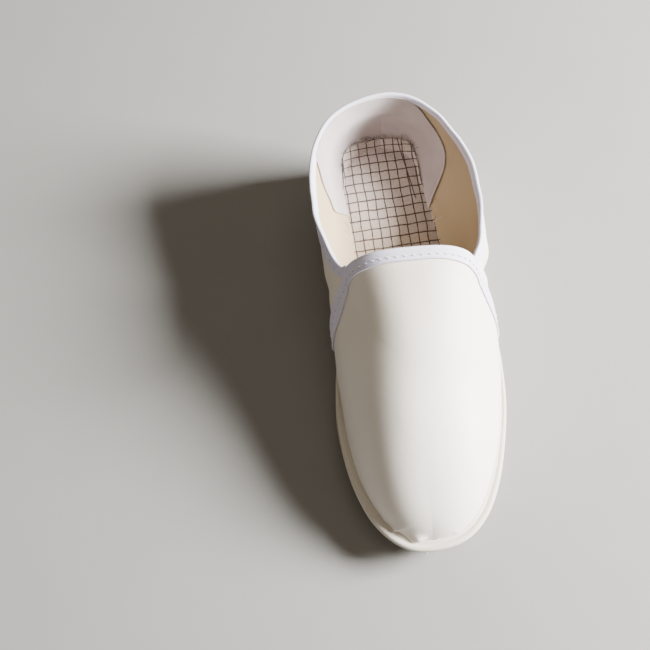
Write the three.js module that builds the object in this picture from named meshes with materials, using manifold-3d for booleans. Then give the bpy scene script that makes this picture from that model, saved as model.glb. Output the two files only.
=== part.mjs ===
// Slip-on antistatic work shoe, left foot, in millimetres.
// +Z is up, the toe points to -Y, the outer (lateral) side is +X and the inner (medial) side is -X.
// The origin lies on the floor under the middle of the sole.
import * as THREE from "three";
import { mergeVertices } from "three/addons/utils/BufferGeometryUtils.js";
import Module from "manifold-3d";

const wasm = await Module();
wasm.setup();
const { Manifold, Mesh: ManifoldMesh } = wasm;

// Driving sizes of the shoe
const soleLength = 240;
const ballWidth = 91;
const instepHeight = 87;
const heelHeight = 80;
const quarterHeight = 64;

// Driving sizes of its layers
const upperWall = 1.8;
const vampLayer = 0.9;
const tapeThickness = 0.8;
const liningThickness = 1.1;
const insoleThickness = 3;
const fitGap = 0.3;

// Driving sizes of the sole
const flangeWidth = 4.4;
const cupDepth = 6.5;
const beadHeight = 3.4;
const grooveDepth = 1.1;
const wallFlare = 1.4;
const soleEdgeRadius = 4;
const treadDepth = 2.2;
const treadWidth = 2.6;

// Driving sizes of the trim
const throatTapeWidth = 6;
const collarTapeWidth = 6.5;
const tapeInside = 3;
const throatCorner = 11;

// How finely the forms are divided
const ribCount = 80;
const ribSteps = 10;
const heelCentreShare = 0.86;
const cutTolerance = 0.03;
const mergeTolerance = 1e-3;

// Plan of the sole's edge. at is a share of the sole's length from the toe, and medial and lateral
// are shares of the ball width, out from the line that joins the toe's tip to the heel's end.
const planTable = [
  { at: 0.0, medial: 0.0, lateral: 0.0 },
  { at: 0.006, medial: 0.08, lateral: 0.084 },
  { at: 0.025, medial: 0.168, lateral: 0.185 },
  { at: 0.068, medial: 0.275, lateral: 0.325 },
  { at: 0.13, medial: 0.355, lateral: 0.426 },
  { at: 0.2, medial: 0.408, lateral: 0.495 },
  { at: 0.3, medial: 0.438, lateral: 0.552 },
  { at: 0.38, medial: 0.43, lateral: 0.566 },
  { at: 0.47, medial: 0.398, lateral: 0.552 },
  { at: 0.6, medial: 0.362, lateral: 0.47 },
  { at: 0.73, medial: 0.345, lateral: 0.395 },
  { at: 0.86, medial: 0.35, lateral: 0.357 },
  { at: 0.917, medial: 0.322, lateral: 0.328 },
  { at: 0.95, medial: 0.272, lateral: 0.277 },
  { at: 0.975, medial: 0.205, lateral: 0.208 },
  { at: 0.992, medial: 0.12, lateral: 0.122 },
  { at: 1.0, medial: 0.0, lateral: 0.0 },
];

// Sections of the sole. floor is the footbed and under the sole's underside, both in mm above the
// ground, because they follow the thickness of the moulding and not the length of the shoe.
const soleTable = [
  { at: 0.0, floor: 14, under: 8 },
  { at: 0.05, floor: 13.4, under: 4.6 },
  { at: 0.12, floor: 12.8, under: 1.4 },
  { at: 0.2, floor: 12.5, under: 0 },
  { at: 0.34, floor: 13, under: 0 },
  { at: 0.46, floor: 16.5, under: 0 },
  { at: 0.58, floor: 22, under: 3.2 },
  { at: 0.7, floor: 26.5, under: 0 },
  { at: 0.84, floor: 29.5, under: 0 },
  { at: 0.94, floor: 30.4, under: 0 },
  { at: 1.0, floor: 30.8, under: 2.6 },
];

// Sections of the last. crest is the height of its ridge as a share of the instep height, ridge the
// sideways place of the ridge as a share of the ball width, and round how square the shoulder is.
// lean is how far the wall stands out of its foot at the collar and belly how far it swells
// half-way up, both in mm, first on the medial and then on the lateral side.
const lastTable = [
  { at: 0.0, crest: 0.49, ridge: 0.0, round: 2.2, leanIn: 0, leanOut: 0, bellyIn: 0.3, bellyOut: 0.3 },
  { at: 0.1, crest: 0.53, ridge: -0.02, round: 2.2, leanIn: 0, leanOut: 0, bellyIn: 0.4, bellyOut: 0.6 },
  { at: 0.2, crest: 0.58, ridge: -0.04, round: 2.1, leanIn: 0, leanOut: 0, bellyIn: 0.6, bellyOut: 0.8 },
  { at: 0.3, crest: 0.66, ridge: -0.05, round: 2.0, leanIn: 1, leanOut: 0, bellyIn: 2, bellyOut: 1 },
  { at: 0.4, crest: 0.79, ridge: -0.05, round: 2.1, leanIn: 3, leanOut: 0, bellyIn: 4.6, bellyOut: 1.4 },
  { at: 0.5, crest: 0.93, ridge: -0.04, round: 2.5, leanIn: 5, leanOut: 0, bellyIn: 6.5, bellyOut: 3.2 },
  { at: 0.56, crest: 1.02, ridge: -0.03, round: 3.2, leanIn: 6, leanOut: 0, bellyIn: 7, bellyOut: 5 },
  { at: 0.64, crest: 1.16, ridge: 0.0, round: 4.6, leanIn: 11.5, leanOut: 8, bellyIn: 6.4, bellyOut: 7.5 },
  { at: 0.73, crest: 1.3, ridge: 0.02, round: 6, leanIn: 16.6, leanOut: 14.5, bellyIn: 2, bellyOut: 3 },
  { at: 0.8, crest: 1.34, ridge: 0.02, round: 6, leanIn: 15.6, leanOut: 16.4, bellyIn: 1, bellyOut: 1 },
  { at: 0.86, crest: 1.34, ridge: 0.01, round: 6, leanIn: 10, leanOut: 11.2, bellyIn: 1.5, bellyOut: 1.5 },
  { at: 0.9, crest: 1.34, ridge: 0.01, round: 6, leanIn: 4.4, leanOut: 7.4, bellyIn: 2.2, bellyOut: 2.2 },
  { at: 0.94, crest: 1.34, ridge: 0.0, round: 6, leanIn: -0.4, leanOut: 3.0, bellyIn: 3, bellyOut: 3 },
  { at: 0.975, crest: 1.34, ridge: 0.0, round: 6, leanIn: -2.6, leanOut: -2.6, bellyIn: 3.7, bellyOut: 3.7 },
  { at: 1.0, crest: 1.34, ridge: 0.0, round: 6, leanIn: -4, leanOut: -4, bellyIn: 4, bellyOut: 4 },
];
const toeRoundShare = 0.3;
const toeRoundPower = 2.3;

// Up to this share of its climb to the quarter height a wall's lean and belly fade in, so that it comes
// straight up out of the sole's cup.
const tuckShare = 0.34;

// Side view of the opening behind the throat. drop is how far the collar lies under heelHeight, as a
// share of the fall from heelHeight to quarterHeight.
const throatShare = 0.558;
const collarTable = [
  { at: 0.66, drop: 1.0 },
  { at: 0.76, drop: 0.93 },
  { at: 0.85, drop: 0.6 },
  { at: 0.93, drop: 0.2 },
  { at: 1.0, drop: 0.0 },
];

// Side view of the vamp's rear edge under the throat: a share of the length, and a height as a
// share of the quarter height.
const vampEdgeTable = [
  { at: 0.558, high: 1.45 },
  { at: 0.558, high: 1.25 },
  { at: 0.553, high: 1.1 },
  { at: 0.532, high: 0.9 },
  { at: 0.505, high: 0.72 },
  { at: 0.488, high: 0.55 },
  { at: 0.484, high: 0.3 },
];

// Side view of the heel lining's front edge, behind which it covers the wall.
const liningEdgeTable = [
  { at: 0.99, high: 1.3 },
  { at: 0.93, high: 1.16 },
  { at: 0.86, high: 0.98 },
  { at: 0.82, high: 0.78 },
  { at: 0.805, high: 0.6 },
  { at: 0.8, high: 0.4 },
];

// Tread of the forefoot and heel, in shares of the length and of the ball width.
const longGrooves = [
  [
    { at: 0.07, side: 0.03 },
    { at: 0.2, side: -0.01 },
    { at: 0.32, side: -0.07 },
    { at: 0.44, side: -0.02 },
  ],
  [
    { at: 0.14, side: 0.13 },
    { at: 0.3, side: 0.07 },
    { at: 0.47, side: 0.15 },
  ],
  [
    { at: 0.1, side: 0.24 },
    { at: 0.26, side: 0.22 },
    { at: 0.38, side: 0.24 },
    { at: 0.5, side: 0.32 },
  ],
];
const medialRibs = { from: 0.13, to: 0.37, count: 8, inner: -0.05, outer: -0.36, slant: 0.01 };
const lateralRibs = { from: 0.15, to: 0.43, count: 8, inner: 0.24, outer: 0.6, slant: 0.09 };
const heelRibs = { from: 0.74, to: 0.92, count: 6, inner: -0.24, outer: 0.5, slant: 0.05 };

// Helpers for tables, side views and solids

const lengthAt = (share) => (share - 0.5) * soleLength;
const shareAt = (y) => THREE.MathUtils.clamp(y / soleLength + 0.5, 0, 1);

// A column of a table at a share of the length: a cubic through the rows that never overshoots them.
function along(table, column, share) {
  const last = table.length - 1;
  const s = THREE.MathUtils.clamp(share, table[0].at, table[last].at);
  let row = 0;
  while (row < last - 1 && s > table[row + 1].at) row += 1;
  const rise = (k) => (table[k + 1][column] - table[k][column]) / (table[k + 1].at - table[k].at);
  const slope = (k) => {
    if (k === 0 || k === last) return rise(Math.min(k, last - 1));
    const before = rise(k - 1);
    const after = rise(k);
    return before * after <= 0 ? 0 : (2 * before * after) / (before + after);
  };
  const span = table[row + 1].at - table[row].at;
  const t = (s - table[row].at) / span;
  const a = table[row][column];
  const b = table[row + 1][column];
  const ends = a * (2 * t ** 3 - 3 * t ** 2 + 1) + b * (3 * t ** 2 - 2 * t ** 3);
  const bends = slope(row) * (t ** 3 - 2 * t ** 2 + t) + slope(row + 1) * (t ** 3 - t ** 2);
  return ends + span * bends;
}

// Points of a polyline at even steps along it.
function evenly(points, count) {
  const marks = [0];
  points.slice(1).forEach((p, i) => marks.push(marks[i] + p.distanceTo(points[i])));
  const total = marks[marks.length - 1];
  return Array.from({ length: count }, (_, k) => {
    const goal = (total * k) / (count - 1);
    let i = 0;
    while (i < points.length - 2 && marks[i + 1] < goal) i += 1;
    return points[i].clone().lerp(points[i + 1], (goal - marks[i]) / (marks[i + 1] - marks[i]));
  });
}

// The sole's edge in plan: ribCount points, toe first, round the lateral side and back by the medial.
function soleOutline() {
  const lateral = planTable.map((r) => new THREE.Vector2(r.lateral * ballWidth, lengthAt(r.at)));
  const medial = planTable.slice(1, -1).map((r) => new THREE.Vector2(-r.medial * ballWidth, lengthAt(r.at)));
  const ring = [...lateral, ...medial.reverse()].map((p) => new THREE.Vector3(p.x, p.y, 0));
  const curve = new THREE.CatmullRomCurve3(ring, true, "centripetal");
  const fine = 16;
  const dense = curve.getPoints(ring.length * fine).map((p) => new THREE.Vector2(p.x, p.y));
  const heelMark = (planTable.length - 1) * fine;
  const half = ribCount / 2;
  const out = evenly(dense.slice(0, heelMark + 1), half + 1);
  const back = evenly(dense.slice(heelMark), half + 1);
  const points = [...out.slice(0, half), ...back.slice(0, half)];
  return points.map((p, i) => {
    const ahead = points[(i + 1) % ribCount];
    const behind = points[(i + ribCount - 1) % ribCount];
    const normal = new THREE.Vector2(ahead.y - behind.y, behind.x - ahead.x).normalize();
    if (i === 0 || i === half) normal.set(0, i === 0 ? -1 : 1);
    return { p, normal };
  });
}
const outline = soleOutline();

// A closed mesh as a solid, after its shared vertices are merged.
function solidFrom(geometry, tolerance = 1e-4) {
  geometry.deleteAttribute("normal");
  geometry.deleteAttribute("uv");
  const merged = mergeVertices(geometry, tolerance);
  const index = merged.index.array;
  const kept = [];
  for (let i = 0; i < index.length; i += 3) {
    const [a, b, c] = index.slice(i, i + 3);
    if (a !== b && b !== c && c !== a) kept.push(a, b, c);
  }
  const vertProperties = new Float32Array(merged.attributes.position.array);
  return new Manifold(new ManifoldMesh({ numProp: 3, vertProperties, triVerts: new Uint32Array(kept) }));
}

// A solid skinned over rings of ribCount points each. The first and the last ring fold shut on the
// spine, so their points have to match left and right.
function skin(rings) {
  const position = [];
  rings.forEach((ring) => ring.forEach((p) => position.push(p.x, p.y, p.z)));
  const index = [];
  for (let k = 0; k < rings.length - 1; k += 1)
    for (let i = 0; i < ribCount; i += 1) {
      const j = (i + 1) % ribCount;
      const a = k * ribCount + i;
      const b = k * ribCount + j;
      const c = a + ribCount;
      const d = b + ribCount;
      if (i < ribCount / 2) index.push(a, b, d, a, d, c);
      else index.push(a, b, c, b, d, c);
    }
  const geometry = new THREE.BufferGeometry();
  geometry.setAttribute("position", new THREE.Float32BufferAttribute(position, 3));
  geometry.setIndex(index);
  return solidFrom(geometry);
}

// The shoe's foot line: the sole's edge taken in by inset, with the spine point that each rib folds to.
function footLine(inset) {
  const edge = outline.map(({ p, normal }) => p.clone().addScaledVector(normal, -inset));
  const rear = lengthAt(heelCentreShare);
  return edge.map((p, i) => {
    const other = edge[(ribCount - i) % ribCount];
    const y = Math.min((p.y + other.y) / 2, rear);
    const middle = (s) => ((along(planTable, "lateral", s) - along(planTable, "medial", s)) * ballWidth) / 2;
    const folded = i === 0 ? p.x : middle(shareAt(y));
    return { p, normal: outline[i].normal, spine: new THREE.Vector2(folded, y) };
  });
}

// The last's surface moved out by out, as a solid that reaches sink below the footbed.
function lastForm(out, sink) {
  const feet = footLine(flangeWidth - out);
  const tip = feet[0].p.y;
  const crestAt = (y) => {
    const reach = THREE.MathUtils.clamp((y - tip) / (toeRoundShare * soleLength), 0, 1);
    const toe = (1 - (1 - reach) ** toeRoundPower) ** (1 / toeRoundPower);
    const floor = along(soleTable, "floor", shareAt(y));
    return floor + (along(lastTable, "crest", shareAt(y)) * instepHeight + out - floor) * toe;
  };
  const ribs = feet.map(({ p, normal, spine }, i) => {
    const share = shareAt(p.y);
    const side = i <= ribCount / 2 ? "Out" : "In";
    const floor = along(soleTable, "floor", share);
    const ridge = spine.x + along(lastTable, "ridge", shareAt(spine.y)) * ballWidth * (i === 0 ? 0 : 1);
    return {
      p,
      normal,
      floor,
      spine: new THREE.Vector2(ridge, spine.y),
      crest: crestAt(spine.y),
      power: 2 / along(lastTable, "round", share),
      lean: along(lastTable, `lean${side}`, share),
      belly: along(lastTable, `belly${side}`, share),
    };
  });
  const ringAt = (turn) =>
    ribs.map((r) => {
      const inward = Math.cos(turn) ** r.power;
      const z = r.floor + (r.crest - r.floor) * Math.sin(turn) ** r.power;
      const climb = THREE.MathUtils.clamp((z - r.floor) / (quarterHeight - r.floor), 0, 1.25);
      const fade = THREE.MathUtils.smoothstep(climb, 0, tuckShare);
      const swell = (r.lean * climb + r.belly * Math.sin(Math.PI * Math.min(climb, 1))) * fade;
      const xy = r.spine.clone().lerp(r.p, inward).addScaledVector(r.normal, swell * inward);
      return new THREE.Vector3(xy.x, xy.y, z);
    });
  const base = (fold) =>
    ribs.map((r) => {
      const xy = fold ? r.spine : r.p;
      return new THREE.Vector3(xy.x, xy.y, (fold ? along(soleTable, "floor", shareAt(xy.y)) : r.floor) - sink);
    });
  const rings = [base(true), base(false)];
  const first = sink > 0 ? 0 : 1;
  for (let k = first; k < ribSteps; k += 1) rings.push(ringAt(((Math.PI / 2) * k) / ribSteps));
  rings.push(ribs.map((r) => new THREE.Vector3(r.spine.x, r.spine.y, r.crest)));
  return skin(rings);
}

// A side view in the Y-Z plane, extruded across the whole width of the shoe.
function sideBlock(points) {
  const across = 2 * ballWidth;
  const shape = new THREE.Shape(points);
  const geometry = new THREE.ExtrudeGeometry(shape, { depth: across, bevelEnabled: false });
  geometry.translate(0, 0, -across / 2);
  // The shape's own x and y become the shoe's y and z, and its depth runs across the shoe.
  geometry.applyMatrix4(new THREE.Matrix4().set(0, 0, 1, 0, 1, 0, 0, 0, 0, 1, 0, 0, 0, 0, 0, 1));
  return solidFrom(geometry);
}

// A side-view line moved sideways, to its left where by is positive.
function movedLine(points, by) {
  return points.map((p, i) => {
    const ahead = points[Math.min(i + 1, points.length - 1)];
    const behind = points[Math.max(i - 1, 0)];
    const normal = new THREE.Vector2(behind.y - ahead.y, ahead.x - behind.x).normalize();
    return p.clone().addScaledVector(normal, by);
  });
}

// Side-view lines, from the top and the front downwards and backwards

const skyHeight = instepHeight * 2;
const farAhead = lengthAt(-0.2);
const farBehind = lengthAt(1.2);
const sideLine = (table, heightOf) =>
  new THREE.SplineCurve(table.map((r) => new THREE.Vector2(lengthAt(r.at), heightOf(r))));

// The opening's edge: down the throat, round its corner and back along the collar.
function openingLine() {
  const collarHeight = (r) => heelHeight - r.drop * (heelHeight - quarterHeight);
  const collar = sideLine(collarTable, collarHeight).getPoints(10);
  const throat = lengthAt(throatShare);
  const top = quarterHeight + throatCorner + 2;
  const corner = new THREE.QuadraticBezierCurve(
    new THREE.Vector2(throat, top),
    new THREE.Vector2(throat + 1.5, quarterHeight + 1.5),
    new THREE.Vector2(throat + throatCorner, quarterHeight + 0.8),
  ).getPoints(6);
  return [new THREE.Vector2(throat, skyHeight), ...corner, ...collar, new THREE.Vector2(farBehind, heelHeight)];
}

// The vamp's rear edge: down the throat and on down the side to the sole.
function vampLine() {
  const below = sideLine(vampEdgeTable, (r) => r.high * quarterHeight).getPoints(12);
  const foot = below[below.length - 1];
  return [new THREE.Vector2(lengthAt(throatShare), skyHeight), ...below, new THREE.Vector2(foot.x, 0)];
}

const opening = openingLine();
const vampEdge = vampLine();
const openingBlock = (raise) =>
  sideBlock([...movedLine(opening, raise), new THREE.Vector2(farBehind, skyHeight)].reverse());
const vampBlock = (grow) =>
  sideBlock([...movedLine(vampEdge, grow), new THREE.Vector2(farAhead, 0), new THREE.Vector2(farAhead, skyHeight)]);

// A slab that follows the footbed, from low to high above it.
function footbedSlab(low, high) {
  const shares = soleTable.map((r) => r.at);
  const stations = shares.flatMap((s, i) => (i ? [(s + shares[i - 1]) / 2, s] : [s]));
  const row = (height) =>
    stations.map((s) => new THREE.Vector2(lengthAt(s), along(soleTable, "floor", s) + height));
  return sideBlock([...row(low), ...row(high).reverse()]);
}

// The pieces

function makeUpper() {
  const vamp = lastForm(vampLayer, 1).intersect(vampBlock(0));
  const whole = lastForm(0, 1).add(vamp).intersect(footbedSlab(fitGap, skyHeight));
  return whole.subtract(lastForm(-upperWall, cupDepth)).subtract(openingBlock(0));
}

// What the upper fills, with a clearance round it, below the opening's edge.
function upperRoom(gap, inside) {
  const vamp = lastForm(vampLayer + gap, cupDepth).intersect(vampBlock(gap));
  const whole = lastForm(gap, cupDepth).add(vamp);
  const room = inside ? whole.subtract(lastForm(-upperWall - gap, cupDepth + 1)) : whole;
  return room.subtract(openingBlock(gap));
}

function makeTapes() {
  const over = fitGap + tapeThickness;
  const vamp = lastForm(vampLayer + over, 0).intersect(vampBlock(over));
  const jacket = lastForm(over, 0).add(vamp).subtract(lastForm(-upperWall - over, cupDepth));
  const underEdge = openingBlock(over);
  const inner = lastForm(-upperWall / 2, cupDepth);
  const outsideBand = openingBlock(-collarTapeWidth).subtract(inner);
  const nearOpening = openingBlock(-tapeInside).add(outsideBand).subtract(underEdge);
  const wall = upperRoom(fitGap, true);
  const ahead = vampBlock(over);
  const folded = jacket.subtract(underEdge).subtract(wall);
  const strip = ahead.subtract(vampBlock(-throatTapeWidth));
  const aboveSole = footbedSlab(cupDepth + fitGap + 2, skyHeight);
  const throatOutside = folded.intersect(strip).subtract(inner);
  const throatInside = folded.intersect(strip).intersect(nearOpening).intersect(inner);
  const throat = throatOutside.intersect(aboveSole).add(throatInside);
  const collar = folded.intersect(nearOpening).subtract(vampBlock(over + fitGap));
  return { throat, collar };
}

function makeLining() {
  const front = sideLine(liningEdgeTable, (r) => r.high * quarterHeight).getPoints(14);
  const behind = sideBlock([...front, new THREE.Vector2(farBehind, 0), new THREE.Vector2(farBehind, skyHeight)]);
  const outer = lastForm(-upperWall - fitGap, cupDepth);
  const inner = lastForm(-upperWall - fitGap - liningThickness, cupDepth + 1);
  const tapeFoot = openingBlock(-tapeInside - fitGap);
  const overInsole = footbedSlab(insoleThickness + 2 * fitGap, skyHeight);
  return outer.subtract(inner).intersect(behind).subtract(tapeFoot).intersect(overInsole);
}

function makeInsole() {
  const slab = footbedSlab(fitGap, fitGap + insoleThickness);
  return lastForm(-upperWall - fitGap, cupDepth).intersect(slab);
}

// The moulded block of the sole before its cup and tread are cut.
function soleBlock() {
  const wall = outline.map(({ p, normal }, i) => {
    const share = shareAt(p.y);
    const rim = along(soleTable, "floor", share) + cupDepth;
    const under = along(soleTable, "under", share);
    return { p, normal, rim, under, spine: footLine(0)[i].spine };
  });
  const ringAt = (inset, height) =>
    wall.map((w) => {
      const xy = w.p.clone().addScaledVector(w.normal, -inset);
      return new THREE.Vector3(xy.x, xy.y, height(w));
    });
  const spineRing = (height) =>
    wall.map((w) => new THREE.Vector3(w.spine.x, w.spine.y, height(shareAt(w.spine.y))));
  const halfway = (inset, height) => {
    const edge = ringAt(inset, () => 0);
    return edge.map((p, i) => {
      const xy = new THREE.Vector2(p.x, p.y).lerp(wall[i].spine, 0.5);
      return new THREE.Vector3(xy.x, xy.y, height(shareAt(xy.y)));
    });
  };
  const under = (s) => along(soleTable, "under", s);
  const rim = (s) => along(soleTable, "floor", s) + cupDepth;
  const edge = soleEdgeRadius;
  const tuck = (turn) => edge * (1 - Math.sin(turn));
  const lift = (turn) => edge * (1 - Math.cos(turn));
  return skin([
    spineRing(under),
    halfway(edge, under),
    ringAt(edge, (w) => w.under),
    ringAt(tuck(Math.PI / 6), (w) => w.under + lift(Math.PI / 6)),
    ringAt(tuck(Math.PI / 3), (w) => w.under + lift(Math.PI / 3)),
    ringAt(0, (w) => w.under + edge),
    ringAt(wallFlare, (w) => w.rim - beadHeight - 2 * grooveDepth),
    ringAt(wallFlare + grooveDepth, (w) => w.rim - beadHeight - grooveDepth),
    ringAt(wallFlare, (w) => w.rim - beadHeight),
    ringAt(wallFlare * 0.5, (w) => w.rim - beadHeight * 0.5),
    ringAt(wallFlare, (w) => w.rim),
    ringAt(flangeWidth + upperWall, (w) => w.rim),
    halfway(flangeWidth + upperWall, rim),
    spineRing(rim),
  ]);
}

// One straight groove across the underside, from a to b in plan.
function groove(a, b, base) {
  const run = b.clone().sub(a);
  const half = treadWidth / 2;
  const profile = new THREE.Shape([
    new THREE.Vector2(-half - 0.5, -treadDepth),
    new THREE.Vector2(half + 0.5, -treadDepth),
    new THREE.Vector2(half * 0.5, treadDepth),
    new THREE.Vector2(-half * 0.5, treadDepth),
  ]);
  const geometry = new THREE.ExtrudeGeometry(profile, { depth: run.length(), bevelEnabled: false });
  geometry.rotateX(Math.PI / 2);
  geometry.rotateZ(Math.atan2(run.y, run.x) + Math.PI / 2);
  geometry.translate(a.x, a.y, base);
  return solidFrom(geometry);
}

// The floor under a tread point, a little lower at the arch and the toe where the sole lifts.
const underAt = (p) => along(soleTable, "under", shareAt(p.y));
const planPoint = (at, side) => new THREE.Vector2(side * ballWidth, lengthAt(at));

function treadCuts() {
  const cuts = [];
  const cut = (a, b) => cuts.push(groove(a, b, (underAt(a) + underAt(b)) / 2));
  longGrooves.forEach((line) => {
    const curve = new THREE.SplineCurve(line.map((k) => planPoint(k.at, k.side)));
    const points = curve.getPoints(5);
    points.slice(1).forEach((p, i) => cut(points[i], p));
  });
  [medialRibs, lateralRibs, heelRibs].forEach((set) => {
    for (let k = 0; k < set.count; k += 1) {
      const at = set.from + ((set.to - set.from) * k) / (set.count - 1);
      cut(planPoint(at, set.inner), planPoint(at + set.slant, set.outer));
    }
  });
  return Manifold.union(cuts);
}

function makeSole() {
  const cup = upperRoom(fitGap, false).intersect(footbedSlab(0, skyHeight));
  return soleBlock().subtract(cup).subtract(treadCuts());
}

// Materials and the finished group

const white = (name, color, roughness) =>
  new THREE.MeshStandardMaterial({ name, color, roughness, metalness: 0 });
const leather = white("white_leather", 0xf1ece4, 0.5);
const foam = white("cream_polyurethane", 0xe6ddc6, 0.6);
const tape = white("white_tape", 0xf2f1f8, 0.85);
const felt = white("lining_felt", 0xcfc6c8, 0.95);
const grid = white("grid_cloth", 0xd8cfca, 0.9);

function geometryOf(solid) {
  const mesh = solid.getMesh();
  const geometry = new THREE.BufferGeometry();
  geometry.setAttribute("position", new THREE.Float32BufferAttribute(mesh.vertProperties, 3));
  geometry.setIndex(new THREE.BufferAttribute(mesh.triVerts, 1));
  return geometry;
}

// The largest body of a solid: cutting thin tape and merging its close points can leave specks beside it.
function mainBody(solid) {
  const bodies = solidFrom(geometryOf(solid.simplify(cutTolerance)), mergeTolerance).decompose();
  return bodies.reduce((most, body) => (body.volume() > most.volume() ? body : most));
}

function piece(name, solid, material) {
  const geometry = geometryOf(mainBody(solid.translate([-middleX, 0, 0])));
  geometry.computeVertexNormals();
  const made = new THREE.Mesh(geometry, material);
  made.name = name;
  return made;
}

const tapes = makeTapes();
const sole = makeSole();
const lowX = Math.min(tapes.collar.boundingBox().min[0], tapes.throat.boundingBox().min[0]);
const middleX = (lowX + sole.boundingBox().max[0]) / 2;
const shoe = new THREE.Group();
shoe.add(
  piece("sole", sole, foam),
  piece("upper", makeUpper(), leather),
  piece("insole", makeInsole(), grid),
  piece("heel_lining", makeLining(), felt),
  piece("throat_tape", tapes.throat, tape),
  piece("collar_tape", tapes.collar, tape),
);

export default shoe;
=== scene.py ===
"""Left slip-on antistatic work shoe: cream moulded sole, white coated leather, taped edges, gridded insole.

The shoe points its toe to -Y, its outer side is +X, and every size is in metres.
"""
import logging
import math
import random
from dataclasses import dataclass, field
from enum import Enum
from typing import Callable, NamedTuple, Sequence

import bmesh
import bpy
import numpy as np
from mathutils import Matrix, Vector

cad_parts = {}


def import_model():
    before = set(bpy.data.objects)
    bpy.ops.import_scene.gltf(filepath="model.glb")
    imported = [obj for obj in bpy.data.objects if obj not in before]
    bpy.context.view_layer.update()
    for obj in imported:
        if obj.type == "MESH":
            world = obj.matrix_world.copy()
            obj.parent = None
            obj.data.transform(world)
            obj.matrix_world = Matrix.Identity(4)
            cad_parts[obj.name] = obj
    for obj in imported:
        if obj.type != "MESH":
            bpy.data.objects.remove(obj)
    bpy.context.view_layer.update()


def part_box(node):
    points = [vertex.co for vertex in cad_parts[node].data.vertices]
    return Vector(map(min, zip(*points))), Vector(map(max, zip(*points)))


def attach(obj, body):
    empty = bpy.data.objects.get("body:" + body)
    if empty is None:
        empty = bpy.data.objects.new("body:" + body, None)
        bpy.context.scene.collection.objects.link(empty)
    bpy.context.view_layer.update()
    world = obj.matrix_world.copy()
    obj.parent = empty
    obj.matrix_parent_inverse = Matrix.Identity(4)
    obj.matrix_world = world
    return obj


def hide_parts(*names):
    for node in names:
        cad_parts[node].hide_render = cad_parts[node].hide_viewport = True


LOG = logging.getLogger("work_shoe")
MM = 0.001
BODY = "root"
PICTURE_SIZE = 650
SENSOR_WIDTH = 36.0


class PlanRow(NamedTuple):
    """The sole's edge: a share of the length, and shares of the ball width to each side."""

    at: float
    medial: float
    lateral: float


class SoleRow(NamedTuple):
    """Heights of the footbed and of the underside above the ground, in mm."""

    at: float
    floor: float
    under: float


class LastRow(NamedTuple):
    """A section of the last: ridge height and place, squareness, and how its walls lean and swell, in mm."""

    at: float
    crest: float
    ridge: float
    square: float
    lean_in: float
    lean_out: float
    belly_in: float
    belly_out: float


class EdgeRow(NamedTuple):
    """A point of an edge in side view: a height in mm, and a share of the length."""

    at: float
    share: float


PLAN = (
    PlanRow(0.0, 0.0, 0.0), PlanRow(0.006, 0.096, 0.13), PlanRow(0.025, 0.18, 0.242),
    PlanRow(0.068, 0.28, 0.35), PlanRow(0.13, 0.356, 0.434), PlanRow(0.2, 0.408, 0.495),
    PlanRow(0.3, 0.438, 0.552), PlanRow(0.38, 0.43, 0.566), PlanRow(0.47, 0.398, 0.552),
    PlanRow(0.6, 0.362, 0.47), PlanRow(0.73, 0.345, 0.395), PlanRow(0.86, 0.35, 0.357),
    PlanRow(0.917, 0.322, 0.328), PlanRow(0.95, 0.272, 0.277), PlanRow(0.975, 0.205, 0.208),
    PlanRow(0.992, 0.12, 0.122), PlanRow(1.0, 0.0, 0.0),
)
SOLE = (
    SoleRow(0.0, 14, 8), SoleRow(0.05, 13.4, 4.6), SoleRow(0.12, 12.8, 1.4), SoleRow(0.2, 12.5, 0),
    SoleRow(0.34, 13, 0), SoleRow(0.46, 16.5, 0), SoleRow(0.58, 22, 3.2), SoleRow(0.7, 26.5, 0),
    SoleRow(0.84, 29.5, 0), SoleRow(0.94, 30.4, 0), SoleRow(1.0, 30.8, 2.6),
)
LAST = (
    LastRow(0.0, 0.49, 0.0, 2.2, 0, 0, 1.6, 1.6), LastRow(0.1, 0.53, -0.02, 2.2, 0, 0, 1.2, 2.6),
    LastRow(0.2, 0.58, -0.04, 2.1, 0, 0, 0.9, 2.8), LastRow(0.3, 0.66, -0.05, 2.0, 1, 0, 2, 2.6),
    LastRow(0.4, 0.79, -0.05, 2.1, 3, 0, 4.6, 2.6), LastRow(0.5, 0.93, -0.04, 2.5, 5, 0, 6.5, 3.6),
    LastRow(0.56, 1.02, -0.03, 3.2, 6, 0, 7, 5), LastRow(0.64, 1.16, 0.0, 4.6, 11.5, 8, 6.4, 7.5),
    LastRow(0.73, 1.3, 0.02, 6, 16.6, 14.2, 2, 3), LastRow(0.77, 1.32, 0.02, 6, 16.5, 14.4, 1.4, 1.8),
    LastRow(0.8, 1.34, 0.02, 6, 15.6, 13.6, 1, 1), LastRow(0.83, 1.34, 0.015, 6, 13.9, 11.4, 1.2, 1.2),
    LastRow(0.86, 1.34, 0.01, 6, 11.6, 8.4, 1.5, 1.5), LastRow(0.9, 1.34, 0.01, 6, 8.2, 4.2, 2.2, 2.2),
    LastRow(0.94, 1.34, 0.0, 6, 3.8, 1.4, 3, 3), LastRow(0.975, 1.34, 0.0, 6, 0.4, 0.4, 3.7, 3.7),
    LastRow(1.0, 1.34, 0.0, 6, -0.4, -0.4, 4, 4),
)
VAMP_EDGE = (
    EdgeRow(19.2, 0.484), EdgeRow(35.2, 0.488), EdgeRow(46.1, 0.505), EdgeRow(57.6, 0.532),
    EdgeRow(70.4, 0.553), EdgeRow(80.0, 0.558), EdgeRow(92.8, 0.558),
)
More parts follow.
